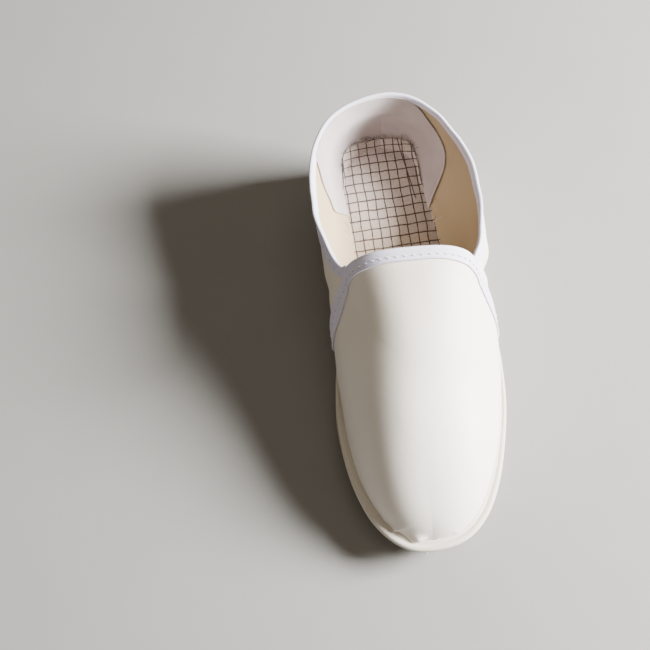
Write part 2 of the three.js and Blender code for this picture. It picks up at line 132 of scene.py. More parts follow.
COLLAR_EDGE = (
    EdgeRow(0.5, 77.0), EdgeRow(0.558, 77.0), EdgeRow(0.5725, 68.2), EdgeRow(0.604, 64.8),
    EdgeRow(0.66, 64.0), EdgeRow(0.76, 65.1), EdgeRow(0.85, 70.4), EdgeRow(0.93, 76.8), EdgeRow(1.0, 80.0),
)
LINING_EDGE_IN = (
    EdgeRow(30.0, 0.786), EdgeRow(37.0, 0.781), EdgeRow(46.0, 0.777), EdgeRow(52.0, 0.8), EdgeRow(64.0, 0.826),
    EdgeRow(72.0, 0.842), EdgeRow(78.0, 0.86),
)
LINING_EDGE_OUT = (
    EdgeRow(30.0, 0.784), EdgeRow(33.5, 0.793), EdgeRow(42.6, 0.833), EdgeRow(52.0, 0.855), EdgeRow(60.0, 0.878),
    EdgeRow(64.0, 0.897), EdgeRow(67.0, 0.924), EdgeRow(72.0, 0.949), EdgeRow(77.0, 0.972),
)


class Column:
    """One column of a table, read as a cubic that never overshoots its rows."""

    def __init__(self, rows: Sequence[NamedTuple], name: str) -> None:
        """Keep the rows' places and values.

        Args:
            rows: the table, ordered by its at column.
            name: the column to read.
        """
        self.at = np.array([row.at for row in rows], dtype=float)
        self.value = np.array([getattr(row, name) for row in rows], dtype=float)
        rise = np.diff(self.value) / np.diff(self.at)
        slope = np.zeros(len(rows))
        slope[0], slope[-1] = rise[0], rise[-1]
        same = rise[:-1] * rise[1:] > 0
        total = np.where(same, rise[:-1] + rise[1:], 1.0)
        slope[1:-1] = np.where(same, 2 * rise[:-1] * rise[1:] / total, 0.0)
        self.slope = slope

    def __call__(self, place: np.ndarray) -> np.ndarray:
        """Read the column.

        Args:
            place: where to read it; beyond its ends it keeps its end values.

        Returns:
            The values there.
        """
        s = np.clip(place, self.at[0], self.at[-1])
        row = np.clip(np.searchsorted(self.at, s, side="right") - 1, 0, len(self.at) - 2)
        span = self.at[row + 1] - self.at[row]
        t = (s - self.at[row]) / span
        ends = self.value[row] * (2 * t**3 - 3 * t**2 + 1) + self.value[row + 1] * (3 * t**2 - 2 * t**3)
        bends = self.slope[row] * (t**3 - 2 * t**2 + t) + self.slope[row + 1] * (t**3 - t**2)
        return ends + span * bends


def unit(vectors: np.ndarray) -> np.ndarray:
    """Scale vectors to length one along their last axis."""
    return vectors / np.maximum(np.linalg.norm(vectors, axis=-1, keepdims=True), 1e-12)


@dataclass
class ShoeForm:
    """The last and the sole's edge, worked out from the shoe's driving sizes.

    A foot place runs from 0 at the toe's tip, round the outer side, to 0.5 at the heel and back to 1.
    A turn runs from 0 at the foot of the wall to a quarter circle at the ridge.
    """

    length: float = 240 * MM
    ball_width: float = 91 * MM
    instep: float = 87 * MM
    quarter_height: float = 64 * MM
    flange: float = 4.4 * MM
    cup_depth: float = 6.5 * MM
    heel_centre: float = 0.86
    toe_round_share: float = 0.3
    toe_round_power: float = 2.3
    middle_x: float = 3.23 * MM
    plan: dict = field(init=False)
    edge: np.ndarray = field(init=False)
    normal: np.ndarray = field(init=False)
    place: np.ndarray = field(init=False)

    def __post_init__(self) -> None:
        """Read the tables and lay out the sole's edge."""
        self.medial, self.lateral = Column(PLAN, "medial"), Column(PLAN, "lateral")
        self.floor_of, self.under_of = Column(SOLE, "floor"), Column(SOLE, "under")
        self.rows = {name: Column(LAST, name) for name in LastRow._fields[1:]}
        self.plan = {}
        self.edge, self.normal, self.place = self._edge()

    def _edge(self, fine: int = 40, count: int = 1440) -> tuple[np.ndarray, np.ndarray, np.ndarray]:
        """Lay a closed curve through the plan's points.

        Args:
            fine: samples between two rows of the plan.
            count: samples kept, evenly spaced on each side.

        Returns:
            The edge's points, their outward normals and their foot places.
        """
        out = [(row.lateral * self.ball_width, self.y_at(row.at)) for row in PLAN]
        back = [(-row.medial * self.ball_width, self.y_at(row.at)) for row in PLAN[1:-1]]
        knots = np.array(out + back[::-1])
        dense = []
        for k in range(len(knots)):
            dense.append(self._stretch(knots, k, fine))
        line = np.vstack(dense)
        heel = (len(PLAN) - 1) * fine
        halves = [line[: heel + 1], np.vstack([line[heel:], line[:1]])]
        points = np.vstack([self._evenly(half, count // 2 + 1)[:-1] for half in halves])
        ahead, behind = np.roll(points, -3, axis=0), np.roll(points, 3, axis=0)
        run = ahead - behind
        return points, unit(np.stack([run[:, 1], -run[:, 0]], axis=1)), np.arange(count) / count

    @staticmethod
    def _stretch(knots: np.ndarray, k: int, fine: int) -> np.ndarray:
        """One stretch of a closed centripetal curve, from knot k towards the next."""
        p0, p1, p2, p3 = (knots[(k + step) % len(knots)] for step in (-1, 0, 1, 2))
        d0, d1, d2 = (np.sqrt(np.linalg.norm(b - a)) for a, b in ((p0, p1), (p1, p2), (p2, p3)))
        m1 = ((p1 - p0) / d0 - (p2 - p0) / (d0 + d1) + (p2 - p1) / d1) * d1
        m2 = ((p2 - p1) / d1 - (p3 - p1) / (d1 + d2) + (p3 - p2) / d2) * d1
        t = (np.arange(fine) / fine)[:, None]
        ends = p1 * (2 * t**3 - 3 * t**2 + 1) + p2 * (3 * t**2 - 2 * t**3)
        return ends + m1 * (t**3 - 2 * t**2 + t) + m2 * (t**3 - t**2)

    @staticmethod
    def _evenly(line: np.ndarray, count: int) -> np.ndarray:
        """Points at even steps along a polyline."""
        steps = np.linalg.norm(np.diff(line, axis=0), axis=1)
        marks = np.concatenate([[0], np.cumsum(steps)])
        goal = np.linspace(0, marks[-1], count)
        return np.stack([np.interp(goal, marks, line[:, 0]), np.interp(goal, marks, line[:, 1])], axis=1)

    def y_at(self, share: float) -> float:
        """The Y of a share of the length from the toe."""
        return (share - 0.5) * self.length

    def share_at(self, y: np.ndarray) -> np.ndarray:
        """The share of the length from the toe at Y."""
        return np.clip(y / self.length + 0.5, 0, 1)

    def edge_at(self, place: np.ndarray, inset: np.ndarray) -> tuple[np.ndarray, np.ndarray]:
        """The sole's edge taken in by an inset.

        Args:
            place: foot places.
            inset: how far in, in metres.

        Returns:
            The points in plan and the outward normals there.
        """
        turns = np.mod(place, 1.0)
        read = lambda column: np.interp(turns, self.place, column, period=1.0)
        normal = unit(np.stack([read(self.normal[:, 0]), read(self.normal[:, 1])], axis=-1))
        base = np.stack([read(self.edge[:, 0]), read(self.edge[:, 1])], axis=-1)
        return base - normal * np.asarray(inset)[..., None], normal

    def spine_at(self, place: np.ndarray, inset: np.ndarray) -> np.ndarray:
        """The middle line of the sole, halfway between a foot place and the one across from it."""
        here, _ = self.edge_at(place, inset)
        across, _ = self.edge_at(1.0 - place, inset)
        y = np.minimum((here[..., 1] + across[..., 1]) / 2, self.y_at(self.heel_centre))
        share = self.share_at(y)
        x = (self.lateral(share) - self.medial(share)) * self.ball_width / 2
        return np.stack([x, y], axis=-1)

    def floor(self, y: np.ndarray) -> np.ndarray:
        """The footbed's height at Y."""
        return self.floor_of(self.share_at(y)) * MM

    def under(self, y: np.ndarray) -> np.ndarray:
        """The underside's height at Y."""
        return self.under_of(self.share_at(y)) * MM

    def wall(self, place: np.ndarray, turn: np.ndarray, out: np.ndarray) -> np.ndarray:
        """Points of the last's surface moved out by a distance.

        Args:
            place: foot places.
            turn: how far up the wall towards the ridge, as an angle.
            out: how far outside the last, in metres; negative is inside.

        Returns:
            The points, in the frame's coordinates.
        """
        place, turn, out = np.broadcast_arrays(place, turn, out)
        foot, normal = self.edge_at(place, self.flange - out)
        spine = self.spine_at(place, self.flange - out)
        back = self.share_at(spine[..., 1])
        spine[..., 0] += self.rows["ridge"](back) * self.ball_width
        share = self.share_at(foot[..., 1])
        floor, low = self.floor(foot[..., 1]), self.floor(spine[..., 1])
        tip = self.y_at(0.0) + self.flange - out
        reach = np.clip((spine[..., 1] - tip) / (self.toe_round_share * self.length), 0, 1)
        toe = (1 - (1 - reach) ** self.toe_round_power) ** (1 / self.toe_round_power)
        crest = low + (self.rows["crest"](back) * self.instep + out - low) * toe
        power = 2 / self.rows["square"](share)
        outer = np.mod(place, 1.0) <= 0.5
        lean = np.where(outer, self.rows["lean_out"](share), self.rows["lean_in"](share)) * MM
        belly = np.where(outer, self.rows["belly_out"](share), self.rows["belly_in"](share)) * MM
        inward = np.maximum(np.cos(turn), 0) ** power
        z = floor + (crest - floor) * np.maximum(np.sin(turn), 0) ** power
        climb = np.clip((z - floor) / (self.quarter_height - floor), 0, 1.25)
        tuck = np.clip(climb / 0.34, 0, 1)
        swell = (lean * climb + belly * np.sin(np.pi * np.minimum(climb, 1))) * tuck * tuck * (3 - 2 * tuck)
        xy = spine + (foot - spine) * inward[..., None] + normal * (swell * inward)[..., None]
        return np.stack([xy[..., 0] - self.middle_x, xy[..., 1], z], axis=-1)

    def solve(self, miss: Callable[[np.ndarray], np.ndarray], low: np.ndarray, high: np.ndarray) -> np.ndarray:
        """Find where a rising function crosses zero.

        Args:
            miss: the function, below zero at low and above it at high.
            low: lower ends of the search.
            high: upper ends of the search.

        Returns:
            The crossings.
        """
        low, high = np.array(low, dtype=float), np.array(high, dtype=float)
        for _ in range(34):
            middle = (low + high) / 2
            above = miss(middle) > 0
            high = np.where(above, middle, high)
            low = np.where(above, low, middle)
        return (low + high) / 2

    def vamp_edge(self, across: np.ndarray, out: float) -> np.ndarray:
        """How far back the vamp reaches, as a station, at each place across it.

        Args:
            across: -1 at the medial foot, 0 at the ridge, 1 at the lateral foot.
            out: how far outside the last.

        Returns:
            Stations, from 0 at the toe to 1 at the heel.
        """
        edge = Column(VAMP_EDGE, "share")

        def miss(station: np.ndarray) -> np.ndarray:
            point = self.across(station, across, out)
            return point[..., 1] - self.y_at(0.0) - edge(point[..., 2] / MM) * self.length

        return self.solve(miss, np.full(across.shape, 0.2), np.full(across.shape, 0.75))

    def across(self, station: np.ndarray, across: np.ndarray, out: np.ndarray) -> np.ndarray:
        """Points of the wall read in arches from foot to foot.

        Args:
            station: 0 at the toe's tip, 1 at the heel.
            across: -1 at the medial foot, 0 at the ridge, 1 at the lateral foot.
            out: how far outside the last.

        Returns:
            The points.
        """
        place = np.where(across >= 0, station * 0.5, 1 - station * 0.5)
        return self.wall(place, (1 - np.abs(across)) * np.pi / 2, out)

    def level_turn(self, place: np.ndarray, level: np.ndarray) -> np.ndarray:
        """The turn at which the wall has climbed a share of the way from its foot to the ridge."""
        foot, _ = self.edge_at(place, np.full(np.shape(place), self.flange))
        square = self.rows["square"](self.share_at(foot[..., 1]))
        return np.arcsin(np.clip(level, 0, 1) ** (square / 2))

    def level_of(self, place: np.ndarray, turn: np.ndarray) -> np.ndarray:
        """The share of the climb at a turn."""
        foot, _ = self.edge_at(place, np.full(np.shape(place), self.flange))
        square = self.rows["square"](self.share_at(foot[..., 1]))
        return np.sin(turn) ** (2 / square)

    def collar_turn(self, place: np.ndarray, out: np.ndarray, drop: np.ndarray = 0.0) -> np.ndarray:
        """The turn at which the wall meets the collar's edge, or a line that far below it."""
        edge = Column(COLLAR_EDGE, "share")

        def miss(turn: np.ndarray) -> np.ndarray:
            point = self.wall(place, turn, out)
            return point[..., 2] - (edge(self.share_at(point[..., 1])) * MM - drop)

        place = np.asarray(place, dtype=float)
        shape = np.broadcast(place, out, drop).shape
        return self.solve(miss, np.zeros(shape), np.full(shape, 0.46 * np.pi))

    def turn_at(self, place: np.ndarray, rise: np.ndarray, out: np.ndarray) -> np.ndarray:
        """The turn at which the wall stands a given height above the footbed."""

        def miss(turn: np.ndarray) -> np.ndarray:
            point = self.wall(place, turn, out)
            return point[..., 2] - self.floor(point[..., 1]) - rise

        return self.solve(miss, np.zeros(place.shape), np.full(place.shape, 0.49 * np.pi))

    def at_height(self, place: np.ndarray, rise: np.ndarray, out: np.ndarray) -> np.ndarray:
        """The point of the wall at a given height above the footbed."""
        return self.wall(place, self.turn_at(place, rise, out), out)

    def contour(self, rise: float, out: Callable[[np.ndarray], np.ndarray]) -> Callable[[np.ndarray], np.ndarray]:
        """The level line of the wall at a height above the footbed, read evenly from toe to heel on each side.

        Args:
            rise: the height above the footbed.
            out: how far outside the last, at each foot place.

        Returns:
            A function from foot places to the line's points.
        """
        count = 500
        sides = []
        for sign in (1, -1):
            steps = 0.5 * np.linspace(0, 1, count) ** 1.5
            place = steps if sign > 0 else 1 - steps
            placed = self.at_height(place, np.full(count, rise), out(place))
            risen = placed[:, 2] - self.floor(placed[:, 1])
            line = placed[risen > rise - 0.05 * MM]
            marks = np.concatenate([[0.0], np.cumsum(np.linalg.norm(np.diff(line, axis=0), axis=1))])
            sides.append((line, marks))

        def read(place: np.ndarray) -> np.ndarray:
            turns = np.mod(place, 1.0)
            result = np.zeros((len(turns), 3))
            for (line, marks), chosen in zip(sides, (turns <= 0.5, turns > 0.5)):
                share = np.where(turns <= 0.5, turns, 1 - turns)[chosen] * 2 * marks[-1]
                for axis in range(3):
                    result[chosen, axis] = np.interp(share, marks, line[:, axis])
            return result

        return read


def smooth_step(value: np.ndarray) -> np.ndarray:
    """A soft step from 0 to 1 as the value goes from 0 to 1."""
    held = np.clip(value, 0, 1)
    return held * held * (3 - 2 * held)


class Facing(Enum):
    """Which way a sheet's faces look, seen from the middle of the shoe."""

    OUT = 1
    IN = -1


def lay_sheet(
    name: str,
    columns: int,
    rows: int,
    shape: Callable[[np.ndarray, np.ndarray], np.ndarray],
    facing: Facing = Facing.OUT,
    cloth: Callable[[np.ndarray, np.ndarray], np.ndarray] | None = None,
    judge: tuple[float, float] = (0.0, 1.0),
) -> bpy.types.Object:
    """Make a sheet: a grid whose points are laid over a surface and whose meeting edges are joined.

    Args:
        name: the piece's name.
        columns: faces along the sheet.
        rows: faces across the sheet.
        shape: gives the points for places along and across the sheet, both from 0 to 1.
        facing: the side that the faces look to.
        cloth: gives the sheet's own flat coordinates, in metres; the grid's own where it is None.
        judge: the part across the sheet by which its facing is told.

    Returns:
        The new object.
    """
    mesh = bmesh.new()
    bmesh.ops.create_grid(mesh, x_segments=columns, y_segments=rows, size=0.5)
    mesh.verts.ensure_lookup_table()
    flat = np.array([vert.co[:2] for vert in mesh.verts]) + 0.5
    placed = shape(flat[:, 0], flat[:, 1])
    laid = cloth(flat[:, 0], flat[:, 1]) if cloth else flat
    layer = mesh.loops.layers.uv.new("cloth")
    chosen = []
    for face in mesh.faces:
        middle = 0.0
        for loop in face.loops:
            loop[layer].uv = laid[loop.vert.index]
            middle += flat[loop.vert.index, 1] / len(face.loops)
        if judge[0] <= middle <= judge[1]:
            chosen.append(face)
    for vert, point in zip(mesh.verts, placed):
        vert.co = point
    mesh.normal_update()
    centre = Vector((0.0, float(placed[:, 1].mean()), float(placed[:, 2].mean())))
    look = sum((face.calc_center_median() - centre).dot(face.normal) * face.calc_area() for face in chosen)
    if look * facing.value < 0:
        bmesh.ops.reverse_faces(mesh, faces=mesh.faces)
    bmesh.ops.remove_doubles(mesh, verts=mesh.verts, dist=0.02 * MM)
    return as_object(name, mesh)


def sweep_bar(mesh: bmesh.types.BMesh, rings: np.ndarray) -> None:
    """Add a closed bar: a grid wrapped over rings of points, welded along its length and filled at its ends.

    Args:
        mesh: the bmesh that gathers the bars.
        rings: the points, ring by ring along the bar, in metres.
    """
    steps, sides = rings.shape[0] - 1, rings.shape[1]
    wrapped = np.concatenate([rings, rings[:, :1]], axis=1)
    made = bmesh.ops.create_grid(mesh, x_segments=steps, y_segments=sides, size=0.5)["verts"]
    faces = list({face for vert in made for face in vert.link_faces})
    for vert in made:
        vert.co = wrapped[round((vert.co.x + 0.5) * steps), round((vert.co.y + 0.5) * sides)]
    bmesh.ops.remove_doubles(mesh, verts=made, dist=0.0005 * MM)
    rims = list({edge for face in faces if face.is_valid for edge in face.edges if edge.is_boundary})
    bmesh.ops.holes_fill(mesh, edges=rims, sides=sides)


def as_object(name: str, mesh: bmesh.types.BMesh) -> bpy.types.Object:
    """Turn a bmesh into an object in the scene, shaded smooth.

    Args:
        name: the piece's name.
        mesh: the bmesh, which is freed.

    Returns:
        The new object, at the origin.
    """
    data = bpy.data.meshes.new(name)
    mesh.to_mesh(data)
    mesh.free()
    data.shade_smooth()
    made = bpy.data.objects.new(name, data)
    bpy.context.scene.collection.objects.link(made)
    return made


def thicken(piece: bpy.types.Object, thickness: float, offset: float = -1.0, edge: float = 0.0) -> None:
    """Give a sheet its thickness, and round its edges if asked.

    Args:
        piece: the sheet.
        thickness: in metres.
        offset: -1 to grow to the back, 1 to grow to the front.
        edge: radius of the rounded edges.
    """
    wall = piece.modifiers.new("thickness", "SOLIDIFY")
    wall.thickness = thickness
    wall.offset = offset
    wall.use_even_offset = False
    if edge > 0:
        rounding = piece.modifiers.new("edges", "BEVEL")
        rounding.width = edge
        rounding.segments = 3
        rounding.limit_method = "ANGLE"
        rounding.angle_limit = math.radians(50)


def carry(piece: bpy.types.Object, slot: str, finish: bpy.types.Material, *nodes: str) -> bpy.types.Object:
    """Fasten a piece to the shoe, with its finish and the CAD nodes that it stands for.

    Args:
        piece: the piece.
        slot: the name of the piece's material slot; not used.
        finish: its material.
        nodes: names of the CAD nodes it replaces.

    Returns:
        The same piece.
    """
    piece.data.materials.clear()
    piece.data.materials.append(finish)
    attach(piece, BODY)
    if nodes:
        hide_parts(*nodes)
    LOG.info("%s: %d points", piece.name, len(piece.data.vertices))
    return piece


class Seam:
    """A line drawn on a surface, from which bands and stitches are measured in metres.

    The surface takes two coordinates and a distance out. From any point of the line, point() moves square
    to the line within the surface.
    """

    def __init__(self, surface: Callable, first: np.ndarray, second: np.ndarray, out: float) -> None:
        """Measure a line.

        Args:
            surface: the surface, read as surface(first, second, out).
            first: the line's first coordinates.
            second: its second coordinates.
            out: the distance out at which lengths are measured.
        """
        self.surface = surface
        self.out = out
        raw = surface(first, second, np.full(first.shape, out))
        marks = np.concatenate([[0.0], np.cumsum(np.linalg.norm(np.diff(raw, axis=0), axis=1))])
        self.length = float(marks[-1])
        count = max(64, int(self.length / (0.5 * MM)))
        self.marks = np.linspace(0.0, self.length, count)
        self.first = np.interp(self.marks, marks, first)
        self.second = np.interp(self.marks, marks, second)
        small, level = 1e-4, np.full(count, out)
        here = surface(self.first, self.second, level)
        by_first = (surface(self.first + small, self.second, level) - here) / small
        by_second = (surface(self.first, self.second + small, level) - here) / small
        run = by_first * np.gradient(self.first)[:, None] + by_second * np.gradient(self.second)[:, None]
        square = np.cross(unit(np.cross(by_first, by_second)), unit(run))
        ff, fs, ss = (np.sum(a * b, axis=1) for a, b in
                      ((by_first, by_first), (by_first, by_second), (by_second, by_second)))
        cf, cs = np.sum(square * by_first, axis=1), np.sum(square * by_second, axis=1)
        det = np.maximum(ff * ss - fs * fs, 1e-12)
        self.turn_first = self._smooth((cf * ss - cs * fs) / det)
        self.turn_second = self._smooth((cs * ff - cf * fs) / det)
        self.here = here

    @staticmethod
    def _smooth(values: np.ndarray, width: int = 15) -> np.ndarray:
        """Average a row of values over a short stretch."""
        padded = np.pad(values, width // 2, mode="edge")
        return np.convolve(padded, np.ones(width) / width, mode="valid")

    def turned(self, axis: int) -> "Seam":
        """Turn the seam's positive side, where needed, to the side that lies lower along an axis."""
        half = np.array([self.length / 2])
        level = np.full(1, self.out)
        moved = self.point(half, np.array([2 * MM]), level)[0, axis]
        if moved > self.point(half, np.zeros(1), level)[0, axis]:
            self.turn_first = -self.turn_first
            self.turn_second = -self.turn_second
        return self

    def point(self, mark: np.ndarray, across: np.ndarray, out: np.ndarray) -> np.ndarray:
        """A point beside the line.

        Args:
            mark: distance along the line.
            across: distance square to it.
            out: distance outside the surface.

        Returns:
            The points.
        """
        read = lambda row: np.interp(mark, self.marks, row)
        first = read(self.first) + read(self.turn_first) * across
        second = read(self.second) + read(self.turn_second) * across
        return self.surface(first, second, out)


@dataclass
class StitchRow:
    """A row of stitches beside a seam: short rounded threads that sink into the cloth at their ends."""

    seam: Seam
    across: float
    out: float
    pitch: float = 4.3 * MM
    stitch: float = 3.0 * MM
    thread: float = 0.5 * MM
    slant: float = 0.0

    def build(self, name: str, finish: bpy.types.Material, start: float, end: float) -> bpy.types.Object:
        """Make the stitches.

        Args:
            name: the piece's name.
            finish: its material.
            start: where along the seam the row starts, as a share.
            end: where it ends.

        Returns:
            The row as one object.
        """
        mesh = bmesh.new()
        count = int((end - start) * self.seam.length / self.pitch)
        marks = (np.arange(count) + 0.5) * self.pitch + start * self.seam.length
        level = np.full(count, self.out)
        beside = np.full(count, self.across)
        middle = self.seam.point(marks, beside, level)
        ahead = self.seam.point(marks + 0.5 * MM, beside + self.slant * MM, level)
        above = self.seam.point(marks, beside, level + 0.5 * MM)
        for place, front, top in zip(middle, ahead, above):
            run, up = Vector(unit(front - place)), Vector(unit(top - place))
            side = up.cross(run).normalized()
            up = run.cross(side)
            turn = Matrix((run * self.stitch / 2, side * self.thread / 2, up * self.thread * 0.42)).transposed()
            bmesh.ops.create_uvsphere(mesh, u_segments=8, v_segments=6, radius=1.0,
                                      matrix=Matrix.Translation(Vector(place)) @ turn.to_4x4())
        return carry(as_object(name, mesh), "tape", finish)


class Level(Enum):
    """What a ring of the sole is measured from."""

    UNDER = "under"
    RIM = "rim"
    UPPER = "upper"
    FLOOR = "floor"


class Ring(NamedTuple):
    """A ring of the sole: its level, its rise above it and inset from the edge in mm, and its fold inwards."""

    level: Level
    rise: float
    inset: float
    fold: float = 0.0


class TreadCut(NamedTuple):
    """A groove of the tread: the points it runs through, as shares of the length and of the ball width."""

    points: tuple[tuple[float, float], ...]
    wide: float = 2.8


@dataclass
class MouldedSole:
    """The moulded sole: a cup with a rolled bead round its rim, a plain wall and a grooved tread."""

    form: ShoeForm
    edge_radius: float = 4.0
    flare: float = 1.5
    tread_depth: float = 2.0
    columns: int = 720

    def rings(self) -> list[Ring]:
        """List the rings from the middle of the underside, round the edge and down into the cup."""
        rings = [Ring(Level.UNDER, 0.0, self.edge_radius, 1 - k / 10) for k in range(10)]
        for k in range(9):
            turn = math.pi / 2 * k / 8
            tuck, lift = self.edge_radius * (1 - math.sin(turn)), self.edge_radius * (1 - math.cos(turn))
            rings.append(Ring(Level.UNDER, lift, tuck))
        rings += [Ring(Level.RIM, -7.0, self.flare - 0.4), Ring(Level.RIM, -5.6, self.flare - 0.1)]
        rings += [Ring(Level.RIM, -4.8, self.flare + 0.15), Ring(Level.RIM, -4.3, self.flare + 0.5)]
        rings += [Ring(Level.RIM, -3.9, self.flare + 0.55), Ring(Level.RIM, -3.5, self.flare + 0.2)]
        for k in range(11):
            turn = math.radians(-60 + 17 * k)
            rings.append(Ring(Level.RIM, -1.85 + 1.65 * math.sin(turn), 1.25 - 1.25 * math.cos(turn)))
        rings += [Ring(Level.RIM, -0.62, 2.05), Ring(Level.RIM, -0.75, 2.3), Ring(Level.RIM, -0.62, 2.6)]
        rings += [Ring(Level.UPPER, -0.3, -0.85), Ring(Level.UPPER, -0.1, -0.3), Ring(Level.UPPER, -0.15, -0.05)]
        rings += [Ring(Level.UPPER, -0.5, 0.15), Ring(Level.UPPER, -2.0, 0.5)]
        rings += [Ring(Level.FLOOR, -0.4, 6.0, k / 6) for k in range(7)]
        return rings

    def toe_shift(self, place: np.ndarray, ring: Ring) -> np.ndarray:
        """How far a ring is taken in near the toe, where the wall slopes in under an overhanging lip."""
        share = self.form.share_at(self.form.edge_at(place, np.zeros(place.shape))[0][..., 1])
        near = 1 - smooth_step((share - 0.03) / 0.3)
        if ring.level is Level.UNDER:
            return near * 3.2 * MM * (1 - 0.25 * min(ring.rise / self.edge_radius, 1))
        if ring.rise < -3.4:
            return near * 0.8 * MM
        return -near * 1.3 * MM * max(0.0, 1 - ring.inset / 2.6)

    def upper_out(self, place: np.ndarray) -> np.ndarray:
        """How far out the upper's outside lies where the rim holds it: the vamp ahead, the quarters behind."""
        share = self.form.share_at(self.form.edge_at(place, np.zeros(place.shape))[0][..., 1])
        return 0.95 * MM * (1 - smooth_step((share - 0.476) / 0.016))

    def surface(self, along: np.ndarray, across: np.ndarray) -> np.ndarray:
        """The block's skin, read by place round the edge and by ring."""
        form, rings = self.form, self.rings()
        index = np.rint(across * (len(rings) - 1)).astype(int)
        placed = np.zeros((len(along), 3))
        spine = form.spine_at(along, np.zeros(along.shape))
        for k, ring in enumerate(rings):
            here = index == k
            place = along[here]
            if ring.level is Level.UPPER:
                rise = form.cup_depth + ring.rise * MM
                line = form.contour(rise, lambda at, inset=ring.inset: self.upper_out(at) - inset * MM)
                placed[here] = line(place)
                continue
            xy, _ = form.edge_at(place, ring.inset * MM + self.toe_shift(place, ring))
            xy = xy + (spine[here] - xy) * ring.fold
            y = xy[:, 1]
            base = {Level.UNDER: form.under(y), Level.RIM: form.floor(y) + form.cup_depth}
            z = base.get(ring.level, form.floor(y)) + ring.rise * MM
            placed[here] = np.stack([xy[:, 0] - form.middle_x, y, z], axis=1)
        return placed

    def cuts(self) -> list[TreadCut]:
        """Lay out the tread: long curved grooves, ribs towards both edges and bars across the heel."""
        cuts = [
            TreadCut(((0.06, 0.03), (0.13, 0.015), (0.2, -0.01), (0.32, -0.07), (0.4, -0.06), (0.45, -0.02))),
            TreadCut(((0.1, 0.12), (0.15, 0.125), (0.22, 0.09), (0.3, 0.07), (0.4, 0.09), (0.48, 0.16))),
            TreadCut(((0.09, 0.235), (0.17, 0.22), (0.26, 0.215), (0.34, 0.225), (0.42, 0.26), (0.52, 0.36))),
        ]
        for k in range(8):
            at = 0.13 + 0.24 * k / 7
            cuts.append(TreadCut(((at + 0.006, -0.03), (at, -0.14), (at - 0.004, -0.25), (at + 0.004, -0.37)), 2.2))
        for k in range(9):
            at = 0.13 + 0.32 * k / 8
            cuts.append(TreadCut(((at, 0.23), (at + 0.012, 0.35), (at + 0.042, 0.48), (at + 0.1, 0.64)), 3.0))
        for k in range(7):
            at = 0.73 + 0.2 * k / 6
            cuts.append(TreadCut(((at, -0.27), (at + 0.008, -0.1), (at + 0.024, 0.1), (at + 0.05, 0.46)), 2.8))
        cuts.append(TreadCut(((0.47, -0.34), (0.5, -0.16), (0.53, 0.05), (0.57, 0.25), (0.63, 0.5)), 3.2))
        cuts.append(TreadCut(((0.69, -0.33), (0.695, -0.1), (0.705, 0.1), (0.72, 0.38)), 3.2))
        return cuts

    def cutter(self, cut: TreadCut, mesh: bmesh.types.BMesh) -> None:
        """Add one groove's cutting body: a tapered bar swept along the groove, a little proud of the sole.

        Args:
            cut: the groove.
            mesh: the bmesh that gathers the bodies.
        """
        knots = np.array(cut.points)
        run = np.linspace(0, 1, 25)
        marks = np.linspace(0, 1, len(knots))
        columns = [np.interp(run, marks, knots[:, k]) for k in (0, 1)]
        soft = [np.convolve(np.pad(c, 3, mode="reflect", reflect_type="odd"), np.ones(7) / 7, "valid") for c in columns]
        x = soft[1] * self.form.ball_width - self.form.middle_x
        y = (soft[0] - 0.5) * self.form.length
        centre = np.stack([x, y], axis=1)
        ahead = unit(np.gradient(centre, axis=0))
        side = np.stack([-ahead[:, 1], ahead[:, 0]], axis=1)
        base = self.form.under(y)
        top, low = cut.wide / 2 * MM * 0.5, cut.wide / 2 * MM * 1.5
        rings = []
        for shift, rise in ((-low, -1.6), (low, -1.6), (top, self.tread_depth), (-top, self.tread_depth)):
            rings.append(np.column_stack([centre + side * shift, base + rise * MM]))
        sweep_bar(mesh, np.stack(rings, axis=1))

    def build(self, finish: bpy.types.Material) -> bpy.types.Object:
        """Make the sole and cut its tread.

        Args:
            finish: its material.

        Returns:
            The sole's object.
        """
        block = lay_sheet("moulded_sole", self.columns, len(self.rings()) - 1, self.surface)
        for cut in self.cuts():
            mesh = bmesh.new()
            self.cutter(cut, mesh)
            bmesh.ops.recalc_face_normals(mesh, faces=mesh.faces)
            tool = as_object("tread_cutter", mesh)
            carve = block.modifiers.new("tread", "BOOLEAN")
            carve.operation = "DIFFERENCE"
            carve.solver = "FAST"
            carve.object = tool
            settle(block)
            bpy.data.objects.remove(tool)
        block.data.shade_smooth()
        block.data.set_sharp_from_angle(angle=math.radians(40))
        return carry(block, "foam", finish, "sole")


def settle(piece: bpy.types.Object) -> None:
    """Apply a piece's modifiers to its mesh."""
    graph = bpy.context.evaluated_depsgraph_get()
    graph.update()
    fixed = bpy.data.meshes.new_from_object(piece.evaluated_get(graph), depsgraph=graph)
    piece.modifiers.clear()
    piece.data = fixed


class Crease(NamedTuple):
    """A fold in the leather: its foot place, height and reach in mm, its depth in mm, and how sharply it drops."""

    place: float
    height: float
    half_width: float
    half_height: float
    depth: float
    sharp: float = 0.0


